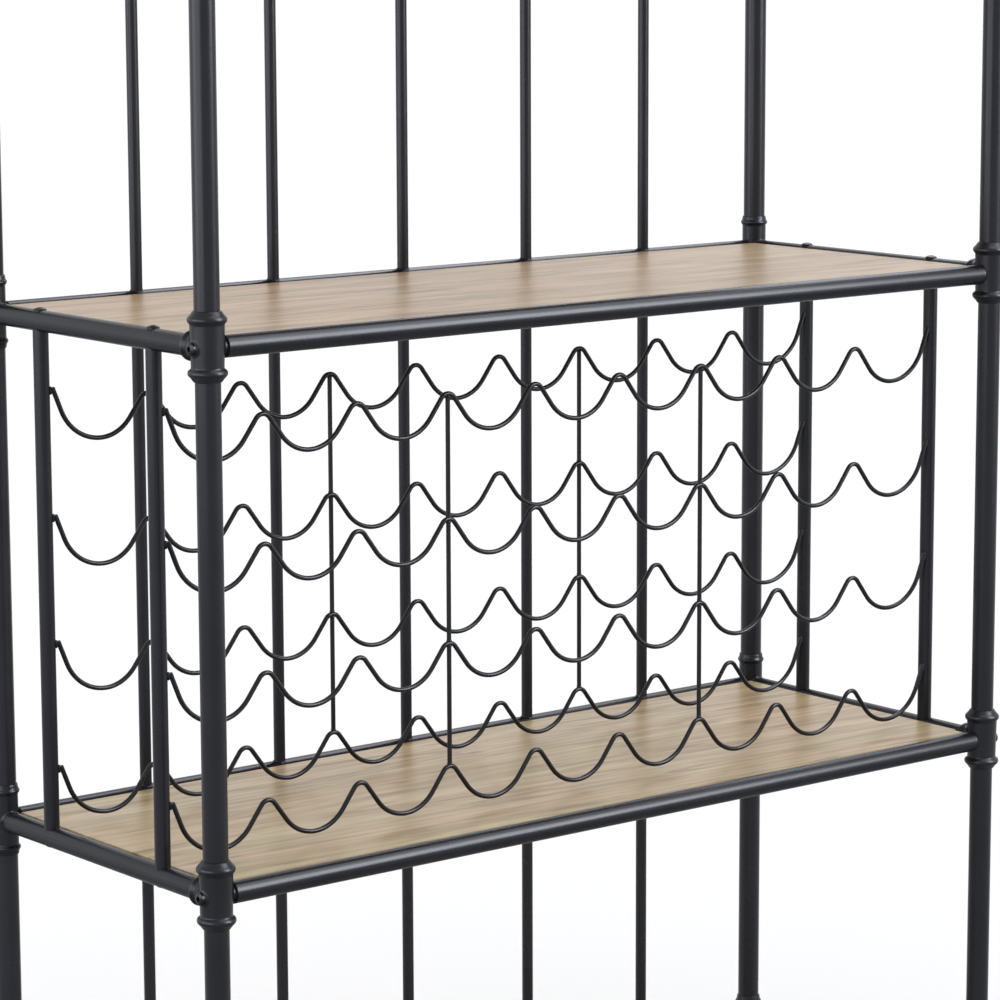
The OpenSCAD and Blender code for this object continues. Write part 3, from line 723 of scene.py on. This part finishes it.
def collar_distance(points, low_r, high_r, bead_r, bead_tube, gap):
    """Distance to a collar: tapered body, a ring for each bead, a cone that closes each end."""
    along, across = points[:, 2] - FITTING_RISE, np.hypot(points[:, 0], points[:, 1])
    body_r = low_r + (high_r - low_r) * np.clip(along / gap + 0.5, 0, 1)
    body = rod_distance(along, across, -gap / 2, gap / 2, body_r)
    bead = np.hypot(across - (bead_r - bead_tube), np.abs(along) - gap / 2) - bead_tube
    cone_start = gap / 2 + bead_tube * CONE_FROM
    drop = (bead_r - bead_tube / 2 - POST_R - CONE_LIP) / CONE_H
    cone_r = bead_r - bead_tube / 2 - drop * np.maximum(np.abs(along) - cone_start, 0)
    slope = 1 / math.hypot(1, drop)
    cone = np.maximum.reduce([(across - cone_r) * slope, np.abs(along) - cone_start - CONE_H,
                              gap / 2 - np.abs(along)])
    return softened_least(softened_least(body, bead, BEAD_FILLET), cone, BEAD_FILLET / 2)


print("fillet at a bead", BEAD_FILLET * 1000, "mm")

# %% The fittings' forms as distances
BRANCH_FILLET = 4 * MM
BOSS_FILLET = 1.6 * MM
BRANCH_END = BRANCH_REACH - 0.5 * MM


def with_bosses(form, points, rows):
    """Distance to a form once its bosses are blended in."""
    for axis, reach, radius in rows:
        k = "xy".index(axis)
        across = np.hypot(points[:, 1 - k], points[:, 2])
        stub = rod_distance(points[:, k], across, min(reach, 0), max(reach, 0), radius)
        form = softened_least(form, stub, BOSS_FILLET)
    return form


def tee_distance(points):
    """Distance to a front tee: collar, branch and its bead along Y, and the bosses."""
    y, across = points[:, 1], np.hypot(points[:, 0], points[:, 2])
    stem = rod_distance(y, across, 0, BRANCH_END, BRANCH_R)
    ring_r, ring_y = BRANCH_BEAD_R - BRANCH_BEAD_TUBE, BRANCH_REACH - BRANCH_BEAD_TUBE
    mouth = np.hypot(across - ring_r, y - ring_y) - BRANCH_BEAD_TUBE
    form = softened_least(collar_distance(points, *TEE_COLLAR), softened_least(stem, mouth, BEAD_FILLET),
                          BRANCH_FILLET)
    return with_bosses(form, points, TEE_BOSSES)


def sleeve_distance(points):
    """Distance to a back sleeve: collar and bosses."""
    return with_bosses(collar_distance(points, *SLEEVE_COLLAR), points, SLEEVE_BOSSES)


def settled(points, distance, steps=5, probe=0.01 * MM, least=0.3):
    """Points moved onto the form by Newton steps: p - d grad(d) / |grad(d)|^2. On a crease the
    gradient is short, so its square is held above least."""
    for _ in range(steps):
        slope = np.stack([distance(points + probe * axis) - distance(points - probe * axis)
                          for axis in np.eye(3)], axis=-1) / (2 * probe)
        square = np.maximum((slope ** 2).sum(axis=1), least)
        points = points - distance(points)[:, None] * slope / square[:, None]
    return points


print("fillets at the branch", BRANCH_FILLET * 1000, "mm and at a boss", BOSS_FILLET * 1000, "mm")

# %% Melting shapes into one casting
VOXEL = 0.825 * MM


def scratch(name, mesh):
    """A throwaway object that holds a mesh while modifiers work on it."""
    piece = bpy.data.objects.new(name, mesh)
    scene.collection.objects.link(piece)
    return piece


def baked(piece):
    """A throwaway object's mesh with its modifiers applied; the object is removed."""
    graph = bpy.context.evaluated_depsgraph_get()
    mesh = bpy.data.meshes.new_from_object(piece.evaluated_get(graph))
    bpy.data.objects.remove(piece)
    return mesh


def arrays_of(mesh):
    """A mesh as (points, corners of all faces, face sizes)."""
    points = np.empty(len(mesh.vertices) * 3, np.float32)
    mesh.vertices.foreach_get("co", points)
    corners = np.empty(len(mesh.loops), np.int32)
    mesh.loops.foreach_get("vertex_index", corners)
    sizes = np.empty(len(mesh.polygons), np.int32)
    mesh.polygons.foreach_get("loop_total", sizes)
    return points.reshape(-1, 3).astype(float), corners, sizes


def casting(name, solids, distance, bores):
    """Crossing solids melted together, settled onto their blended form, and bored."""
    piece = scratch(name, mesh_from(name, solids))
    melt = piece.modifiers.new("melt", "REMESH")
    melt.mode = "VOXEL"
    melt.voxel_size = VOXEL
    skin = baked(piece)
    points, _, _ = arrays_of(skin)
    skin.vertices.foreach_set("co", settled(points, distance).astype(np.float32).ravel())
    body = scratch(name, skin)
    cutters = [scratch("bore", mesh_from("bore", [bore])) for bore in bores]
    for cutter in cutters:
        cut = body.modifiers.new("bore", "BOOLEAN")
        cut.operation = "DIFFERENCE"
        cut.solver = "EXACT"
        cut.object = cutter
    mesh = baked(body)
    for cutter in cutters:
        bpy.data.objects.remove(cutter)
    return mesh


print("voxel", VOXEL * 1000, "mm")

# %% Front tees and back sleeves
FIT_GAP = 0.2 * MM


def mirrored(arrays):
    """The same surface mirrored in X, with its faces turned back outwards."""
    points, corners, sizes = arrays
    return points * (-1, 1, 1), corners[::-1].copy(), sizes[::-1].copy()


def moved(arrays, offset):
    """The same surface at another place."""
    return arrays[0] + np.array(offset), arrays[1], arrays[2]


tee_mesh = casting("tee", tee_solids, tee_distance,
                   [cylinder("z", -TEE_BEAD_GAP, TEE_BEAD_GAP, POST_R + FIT_GAP),
                    cylinder("y", POST_R + FIT_GAP, 2 * BRANCH_REACH, RAIL_R + FIT_GAP)])
sleeve_mesh = casting("sleeve", sleeve_solids, sleeve_distance,
                      [cylinder("z", -SLEEVE_BEAD_GAP, SLEEVE_BEAD_GAP, POST_R + FIT_GAP)])
for corner in CORNERS:
    in_front, on_right = "front" in corner, "right" in corner
    kind, mesh, y = ("tees", tee_mesh, FRONT_Y) if in_front else ("sleeves", sleeve_mesh, BACK_Y)
    one = mirrored(arrays_of(mesh)) if on_right else arrays_of(mesh)
    copies = [moved(one, (HALF_X if on_right else -HALF_X, y, z)) for z in LEVELS]
    node = f"{corner}_{kind}"
    finish_piece(f"{node}_cast", node, copies, COATED_CASTING, sharp=50)
    print(node, sum(len(c[2]) for c in copies), "faces")

# %% [markdown]
# Each level has one board. Its outline is a rectangle with a step at each front corner, where the
# tee's branch passes. The edges are eased by a hair: the outline is drawn twice, once in full and
# once drawn in by the easing, and the two are stacked.

# %% Wood boards
BOARD_T = 15 * MM
BOARD_TOP = RAIL_R - 2.7 * MM
BOARD_EDGE = RAIL_R + 1 * MM
NOTCH_GAP = 1.2 * MM
BOARD_EASE = 0.7 * MM


def board_outline():
    """Corners of the board, anticlockwise from the front right, with a step at each front corner."""
    right = HALF_X - BOARD_EDGE
    front, back = FRONT_Y + BOARD_EDGE, BACK_Y - BOARD_EDGE
    step_x = HALF_X - BRANCH_BEAD_R - NOTCH_GAP
    step_y = FRONT_Y + BRANCH_REACH + NOTCH_GAP
    half = [(step_x, front), (step_x, step_y), (right, step_y), (right, back)]
    return np.array(half + [(-x, y) for x, y in half[::-1]])


def drawn_in(outline, inset):
    """An outline moved inwards by inset: each corner shifts along both of its edges' normals."""
    along = np.roll(outline, -1, axis=0) - outline
    along /= np.linalg.norm(along, axis=1, keepdims=True)
    inward = np.stack([-along[:, 1], along[:, 0]], axis=-1)
    return outline + inset * (inward + np.roll(inward, 1, axis=0))


def board(z_low, z_high):
    """A board as stacked outlines with a cap below and above."""
    full = board_outline()
    small = drawn_in(full, BOARD_EASE)
    rings = [(small, z_low), (full, z_low + BOARD_EASE), (full, z_high - BOARD_EASE), (small, z_high)]
    grid = np.stack([np.column_stack([ring, np.full(len(ring), z)]) for ring, z in rings])
    count = len(full)
    sides = grid_faces(len(rings), count, False)
    bottom, top = np.arange(count)[::-1], np.arange(count) + 3 * count
    corners = np.concatenate([sides.ravel(), bottom, top])
    return grid.reshape(-1, 3), corners, np.concatenate([np.full(len(sides), 4), [count, count]])


print("board", BOARD_T * 1000, "mm thick")

# %% Each board's place in its log
LOG_STEP = 1.7
AXIS_DEPTH = 45 * MM
AXIS_SHIFT = 30 * MM
AXIS_RISE = 15 * MM
AXIS_TILT = 0.05
# Radians by which the shift and the two tilts step from one board to the next.
SHIFT_STEP, ACROSS_STEP, DOWN_STEP = 2.4, 1.7, 2.1


def mark_place_in_log(mesh, k, top):
    """Writes where in its log board k was cut: its own coordinates, moved on along the log by k
    steps, and moved and tilted across it by sines and cosines of k. The log's axis lies about
    AXIS_DEPTH below the top face and drifts across the board."""
    points, _, _ = arrays_of(mesh)
    x, y, z = points.T
    across = y - AXIS_SHIFT * math.sin(SHIFT_STEP * k) - AXIS_TILT * x * math.cos(ACROSS_STEP * k)
    depth = z - top + AXIS_DEPTH + AXIS_TILT * math.cos(DOWN_STEP * k) * x + AXIS_RISE * math.sin(k)
    place_in_log = np.stack([x + LOG_STEP * k, across, depth], axis=-1).astype(np.float32)
    layer = mesh.attributes.new("place_in_log", "FLOAT_VECTOR", "POINT")
    layer.data.foreach_set("vector", place_in_log.ravel())


for k, z in enumerate(LEVELS, 1):
    top = z + BOARD_TOP
    shells = [board(top - BOARD_T, top)]
    piece = finish_piece(f"oak_board_{k}", f"shelf_board_{k}", shells, OAK, sharp=30)
    mark_place_in_log(piece.data, k, top)
print("boards", len(LEVELS))

# %% [markdown]
# A thin bar and a rack's upright both stand on a rail and reach up to the next. Their ends are
# coped: cut to the curve of the tube they meet. At a distance d from the rail's axis the rail's
# surface lies sqrt(R^2 - d^2) above it, which gives each point of the end its height.

# %% Coped tubes and their welds
SEAT_GAP = 0.1 * MM
WELD_OUT = 0.2 * MM
COPE_WELD_BEAD = 0.8 * MM
COPE_WELD_COUNT = 64


def cope(distance):
    """Height of a rail's surface above its axis: sqrt(R^2 - d^2) at a distance d from it in plan."""
    return np.sqrt(np.maximum(RAIL_R ** 2 - distance ** 2, 0))


def coped_tube(x, y, low, high, outer, rail_along, sides=32):
    """A standing tube whose two ends fit the rails at heights low and high: each end's height is its
    rail's height, plus or minus the cope."""
    turn = once_round(sides)[None, :]
    radius = np.array([outer, outer, outer - TUBE_WALL, outer - TUBE_WALL])[:, None]
    end = np.array([low, high, high, low])[:, None]
    sign = np.array([1, -1, -1, 1])[:, None]
    px, py = radius * np.cos(turn), radius * np.sin(turn)
    pz = end + sign * (cope(py if rail_along == "x" else px) + SEAT_GAP)
    return shell(np.stack([x + px, y + py, pz], axis=-1), rows_wrap=True)


def cope_weld(x, z, sign):
    """A ring of weld that follows a thin bar's cope, above a back rail (sign 1) or below it (-1)."""
    grid = ring_of_weld(BAR_R + WELD_OUT, COPE_WELD_BEAD, ripples=16, count=COPE_WELD_COUNT, sides=8)
    rise = cope(BAR_R * np.sin(once_round(COPE_WELD_COUNT)))[:, None] + WELD_OUT
    grid[..., 2] = z + sign * (rise + grid[..., 2])
    return shell(grid + (x, BACK_Y, 0), rows_wrap=True)


print("seat gap", SEAT_GAP * 1000, "mm")

# %% Thin bars and the rack's uprights
BARS = 5
for bay, (low, high) in enumerate(zip(LEVELS, LEVELS[1:]), 1):
    parts = []
    for k in range(1, BARS + 1):
        x = 2 * HALF_X * k / (BARS + 1) - HALF_X
        parts += [coped_tube(x, BACK_Y, low, high, BAR_R, "x"),
                  cope_weld(x, low, 1), cope_weld(x, high, -1)]
    # The thin bars take the coat painted a shade lighter, as painted light.
    finish_piece(f"back_bar_tubes_{bay}", f"back_bars_{bay}", parts, COATED_BACK_PAINTED_LIGHTER)
for corner in CORNERS:
    node = f"upright_{corner}"
    x, y, _ = middle(node)
    upright = coped_tube(x, y, LEVELS[1], LEVELS[2], UPRIGHT_R, "y")
    finish_piece(f"{node}_tube", node, [upright], COATED_TUBE)
print("bars", BARS * (len(LEVELS) - 1), "uprights", len(CORNERS))

# %% [markdown]
# The bottle wires are the heart of the rack: one wire makes nine round dips and the small crests
# between them. Each dip and each crest is an arc, and the straight flank that joins them is tangent
# to both. With half the pitch p, the rise h and the radii R and r, a flank is
# sqrt(p^2 + h^2 - 2 h (R + r)) long and leans by atan2(R + r, flank) + atan2(h - R - r, p). The
# outer half of each end dip opens wider: its arc turns by t = 68 degrees and one straight flank
# leads on to the tip at (x, z) beside the upright, so its radius is (x - z / tan t) / tan(t / 2). A
# round section carried along that line makes the wire.

# %% The line of a bottle wire
WIRE_R = 2.5 * MM
DIPS = 9
DIP_R = 44 * MM
CREST_R = 10 * MM
CREST_RISE = 41 * MM
END_RISE = 15 * MM
FIRST_DIP = 18 * MM
ROWS = 4
ROW_PITCH = 130 * MM
END_TURN = math.radians(68)
WELD_TURN = math.radians(30)
TIP_R = WIRE_R * math.sqrt(1 - (math.cos(END_TURN) * math.cos(WELD_TURN)) ** 2)
WELD_REACH = UPRIGHT_R + TIP_R + SEAT_GAP
HALF_PITCH = (2 * HALF_X - 2 * UPRIGHT_R) / DIPS / 2
FLANK = math.sqrt(HALF_PITCH ** 2 + CREST_RISE ** 2 - 2 * CREST_RISE * (DIP_R + CREST_R))
LEAN = math.atan2(DIP_R + CREST_R, FLANK) + math.atan2(CREST_RISE - DIP_R - CREST_R, HALF_PITCH)
END_REACH = HALF_PITCH + UPRIGHT_R - WELD_REACH * math.cos(WELD_TURN)
END_TOP = CREST_RISE + END_RISE
END_DIP_R = (END_REACH - END_TOP / math.tan(END_TURN)) / math.tan(END_TURN / 2)


def turned_line(centre_x, centre_z, r, start, stop, count):
    """Points of an arc in the wire's plane, centre plus r (cos a, sin a), with a in radians."""
    turn = np.linspace(start, stop, count)
    return np.stack([centre_x + r * np.cos(turn), centre_z + r * np.sin(turn)], axis=-1)


def wire_line():
    """The wire's own line as (x, z) from its left end to its right end. The first dip is at x = 0."""
    down, up = -math.pi / 2, math.pi / 2
    falling = turned_line(0, DIP_R, DIP_R, down - LEAN, down, 13)
    rising = (falling * (-1, 1))[::-1][1:]
    right_end = np.concatenate([turned_line(0, END_DIP_R, END_DIP_R, down, down + END_TURN, 15)[1:],
                                [(END_REACH, END_TOP)]])
    crest = turned_line(-HALF_PITCH, CREST_RISE - CREST_R, CREST_R, up + LEAN, up - LEAN, 15)
    runs = [(right_end * (-1, 1))[::-1], falling[-1:], rising]
    for k in range(1, DIPS):
        x = 2 * HALF_PITCH * k
        runs += [crest + (x, 0), falling + (x, 0)]
        if k < DIPS - 1:
            runs.append(rising + (x, 0))
    runs.append(right_end + (2 * HALF_PITCH * (DIPS - 1), 0))
    return np.concatenate(runs)


line = wire_line()
print("wire line", len(line), "points, flank", round(FLANK * 1000, 1), "mm")
print("lean", round(math.degrees(LEAN), 1), "degrees")

# %% Wires and their welds
WIRE_SIDES = 14
FIRST_DIP_X = UPRIGHT_R + HALF_PITCH - HALF_X
ROWS_Z = [LEVELS[1] + FIRST_DIP + k * ROW_PITCH for k in range(ROWS)]
UPRIGHT_Y = {side: middle(f"upright_{side}_left")[1] for side in ("front", "back")}
WIRE_Y = {side: y - WELD_REACH * math.sin(WELD_TURN) for side, y in UPRIGHT_Y.items()}
DROP_IN = 0.6 * MM
DROP_BELOW_TIP = 3 * MM
DROP_HALF_H = 4.4 * MM
DROP_R = 2.1 * MM


def wire_grid(line, radius, ease=0.5 * MM):
    """A round section carried along a line in the XZ plane: P + r (cos a N + sin a Y), with N across
    the line's tangent, and with closed and eased ends."""
    step = np.diff(line, axis=0)
    step /= np.linalg.norm(step, axis=1, keepdims=True)
    tangent = np.concatenate([step[:1], step[:-1] + step[1:], step[-1:]])
    tangent /= np.linalg.norm(tangent, axis=1, keepdims=True)
    first, last = line[0], line[-1]
    line = np.concatenate([[first, first, first + tangent[0] * ease], line[1:-1],
                           [last - tangent[-1] * ease, last, last]])
    tangent = np.concatenate([tangent[:1]] * 2 + [tangent] + [tangent[-1:]] * 2)
    radii = np.full(len(line), radius)
    radii[[0, -1]] = 0
    radii[[1, -2]] = radius - ease
    turn = once_round(WIRE_SIDES)[None, :]
    flat = radii[:, None] * np.cos(turn)
    px = line[:, :1] - tangent[:, 1:] * flat
    pz = line[:, 1:] + tangent[:, :1] * flat
    return np.stack([px, radii[:, None] * np.sin(turn), pz], axis=-1)


def weld_drop(centre, half_height, radius):
    """A drop of weld: half an ellipse (radius cos a, half_height sin a) spun round Z."""
    turn = np.linspace(-np.pi / 2, np.pi / 2, 9)
    shape = np.stack([radius * np.cos(turn), half_height * np.sin(turn)], axis=-1)
    return turned(shape, "z", centre, WIRE_SIDES)


wires = wire_grid(line, WIRE_R)
for side, wire_y in WIRE_Y.items():
    weld_x = HALF_X - (UPRIGHT_R + DROP_IN) * math.cos(WELD_TURN)
    weld_y = UPRIGHT_Y[side] - (UPRIGHT_R + DROP_IN) * math.sin(WELD_TURN)
    for row, z in enumerate(ROWS_Z, 1):
        node = f"{side}_wave_{row}"
        parts = [shell(wires + np.array((FIRST_DIP_X, wire_y, z)))]
        for x in (-weld_x, weld_x):
            parts.append(weld_drop((x, weld_y, z + END_TOP - DROP_BELOW_TIP), DROP_HALF_H, DROP_R))
        finish_piece(f"{side}_bottle_wire_{row}", node, parts, COATED_WIRE)
print("bottle wires", 2 * ROWS, "with", len(line) * WIRE_SIDES, "points each")

# %% Tie rods
# The crests, counted from the left, that carry a tie rod.
TIE_CRESTS = (3, 6)
TIE_TOP_GAP = 0.5 * MM
TIE_WELD_RISE = 0.2 * MM
TIE_WELD_HALF_H = 1.8 * MM
TIE_WELD_R = 3.0 * MM


def rod(x, y, low, high, radius, ease=0.4 * MM):
    """A short standing rod with eased ends."""
    shape = profile((0, low), (radius - ease, low), (radius, low + ease), (radius, high - ease),
                    (radius - ease, high), (0, high))
    return turned(shape, "z", (x, y, 0), WIRE_SIDES)


for side, wire_y in WIRE_Y.items():
    parts = []
    for count in TIE_CRESTS:
        x = FIRST_DIP_X + (2 * count - 1) * HALF_PITCH
        for crest in (z + CREST_RISE for z in ROWS_Z[:-1]):
            low, high = crest + WIRE_R + SEAT_GAP, crest + ROW_PITCH - WIRE_R - TIE_TOP_GAP
            parts.append(rod(x, wire_y, low, high, WIRE_R))
            for z in (low, high):
                parts.append(weld_drop((x, wire_y, z + TIE_WELD_RISE), TIE_WELD_HALF_H, TIE_WELD_R))
    finish_piece(f"{side}_tie_rods_welded", f"{side}_tie_rods", parts, COATED_WIRE)
print("tie rods", 2 * len(TIE_CRESTS) * (ROWS - 1))

# %% [markdown]
# The bolts have low domed heads with a hexagon socket. One grid does it: its rows run from the
# shank's tip over the head and down into the socket, and each row's radius may be pulled from a
# circle into a hexagon, whose radius at angle a is cos(30) / cos((a mod 60) - 30) of its corner's.
# The bolts that hold the uprights come through the side rails. The photograph shows low heads on top
# of the upper rails and none beneath the lower ones, so the upper heads sit down into the rail and
# the lower ones are let in flush.

# %% A bolt
BOLT_R = 3 * MM
HEAD_H = 4.5 * MM
DOME_H = 2 * MM
SOCKET_R = 2.9 * MM
SOCKET_DEPTH = 2.4 * MM
SOCKET_LIP = 0.5 * MM
SHANK_EASE = 0.5 * MM
HEAD_EASE = 0.3 * MM
DOME_EASE = 0.25 * MM
BRIM_DROP = 0.15 * MM
RIM_DROP = 0.1 * MM
DRILL_CONE = 0.3 * MM


def bolt_grid(length):
    """A bolt along Z with its seat at the origin: rows of (radius, height, how hexagonal). Its dome
    is a cap of height h on a radius r, cut from a sphere of radius (r^2 + h^2) / (2 h)."""
    dome_r = (HEAD_R ** 2 + DOME_H ** 2) / (2 * DOME_H)
    dome = np.linspace(HEAD_R - DOME_EASE, SOCKET_R + SOCKET_LIP, 8)
    dome_z = HEAD_H - dome_r + np.sqrt(dome_r ** 2 - dome ** 2)
    floor_z = HEAD_H - SOCKET_DEPTH
    rows = [(0, -length, 0), (BOLT_R - SHANK_EASE, -length, 0), (BOLT_R, -length + SHANK_EASE, 0),
            (BOLT_R, 0, 0), (HEAD_R - HEAD_EASE, 0, 0), (HEAD_R, HEAD_EASE, 0),
            (HEAD_R, HEAD_H - DOME_H - BRIM_DROP, 0)]
    rows += [(r, z, 0) for r, z in zip(dome, dome_z)]
    rows += [(SOCKET_R, dome_z[-1] - RIM_DROP, 1), (SOCKET_R, floor_z, 1), (0, floor_z - DRILL_CONE, 0)]
    radius, height, hexagon = np.array(rows).T[:, :, None]
    turn = once_round(SIDES)[None, :]
    six = math.cos(math.pi / 6) / np.cos(turn % (math.pi / 3) - math.pi / 6)
    reach = radius * (1 - hexagon + hexagon * six)
    return np.stack([reach * np.cos(turn), reach * np.sin(turn), height + 0 * turn], axis=-1)


print("bolt head", 2 * HEAD_R * 1000, "mm across")

# %% Bolts in the posts and in the uprights
PLUG_LEN = 18 * MM
PLUG_SPARE = 4 * MM
HEAD_SUNK_ABOVE = 1.9 * MM
HEAD_SUNK_BELOW = 4.2 * MM

rail_bolts = []
for z in LEVELS:
    for side in (-1, 1):
        for y, body in ((FRONT_Y, TEE_R), (BACK_Y, SLEEVE_R)):
            seat = body + HEAD_SEAT_PROUD + SEAT_GAP
            length = seat + body + RAIL_SEAT_PROUD + SEAT_GAP + PLUG_LEN - PLUG_SPARE
            grid = aimed(bolt_grid(length), "x") * (side, side, 1)
            rail_bolts.append(shell(grid + np.array((side * (HALF_X + seat), y, z))))
finish_piece("rail_bolts_socket_head", "rail_bolts", rail_bolts, COATED_BOLT)
upright_bolts = []
for corner in CORNERS:
    x, y, _ = middle(f"upright_{corner}")
    for z, up, sunk in ((LEVELS[1], -1, HEAD_SUNK_BELOW), (LEVELS[2], 1, HEAD_SUNK_ABOVE)):
        grid = bolt_grid(2 * RAIL_R + PLUG_LEN - PLUG_SPARE - sunk) * (1, up, up)
        upright_bolts.append(shell(grid + np.array((x, y, z + up * (RAIL_R + SEAT_GAP - sunk)))))
finish_piece("upright_bolts_socket_head", "upright_bolts", upright_bolts, COATED_BOLT)
print("bolts", len(rail_bolts), "and", len(upright_bolts))

# %% [markdown]
# Domed caps close the posts above and plastic glides below. Both are turned.

# %% Caps and glides
CAP_SKIRT = 20 * MM
CAP_WALL = 2 * MM
CAP_DOME = 6 * MM
CAP_EASE = 0.4 * MM
CAP_SHOULDER = 0.6 * MM
GLIDE_H = 7 * MM
GLIDE_EDGE = 1.5 * MM
GLIDE_PLUG = 20 * MM
PLUG_EASE = 1 * MM
POST_PLACES = [(x, y) for x in (-HALF_X, HALF_X) for y in (FRONT_Y, BACK_Y)]

cap_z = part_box("post_front_left")[1].z - CAP_SKIRT
bore_r, roof_z = POST_R + FIT_GAP, CAP_SKIRT + SEAT_GAP
wall_h = CAP_SKIRT + CAP_WALL
dome_r = (TEE_R ** 2 + CAP_DOME ** 2) / (2 * CAP_DOME)
dome_edge = math.degrees(math.asin((TEE_R - CAP_SHOULDER) / dome_r))
cap_shape = profile(
    (0, roof_z), (bore_r, roof_z), (bore_r, CAP_EASE), (bore_r + CAP_EASE, 0),
    arc(TEE_BEAD_R - TEE_BEAD_TUBE, TEE_BEAD_TUBE, TEE_BEAD_TUBE, -90, 62, 16),
    (TEE_R, 2 * TEE_BEAD_TUBE), (TEE_R, wall_h - CAP_EASE),
    arc(0, wall_h + CAP_DOME - dome_r, dome_r, 90 - dome_edge, 90, 14))
caps = [turned(cap_shape, "z", (x, y, cap_z)) for x, y in POST_PLACES]
finish_piece("domed_post_caps", "post_caps", caps, COATED_CASTING)
plug_r, plug_top = POST_R - TUBE_WALL - SEAT_GAP, GLIDE_H + GLIDE_PLUG
glide_shape = profile(
    (0, 0), (POST_R - GLIDE_EDGE, 0), (POST_R, GLIDE_EDGE), (POST_R, GLIDE_H), (plug_r, GLIDE_H),
    (plug_r, plug_top - PLUG_EASE), (plug_r - PLUG_EASE, plug_top), (0, plug_top))
glides = [turned(glide_shape, "z", (x, y, 0)) for x, y in POST_PLACES]
finish_piece("plastic_foot_glides", "foot_glides", glides, PLASTIC)
print("caps", len(caps), "glides", len(glides))

# %% [markdown]
# The screws and plugs are small and mostly hidden. Their CAD solids stay, with zinc on them.

# %% Screws and plugs that stay as they are
for node in ("board_screws", "rail_end_plugs", "upright_end_plugs"):
    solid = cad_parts[node]
    solid.data.materials.clear()
    solid.data.materials.append(ZINC)
print("kept CAD nodes", [n for n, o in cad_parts.items() if not o.hide_render])
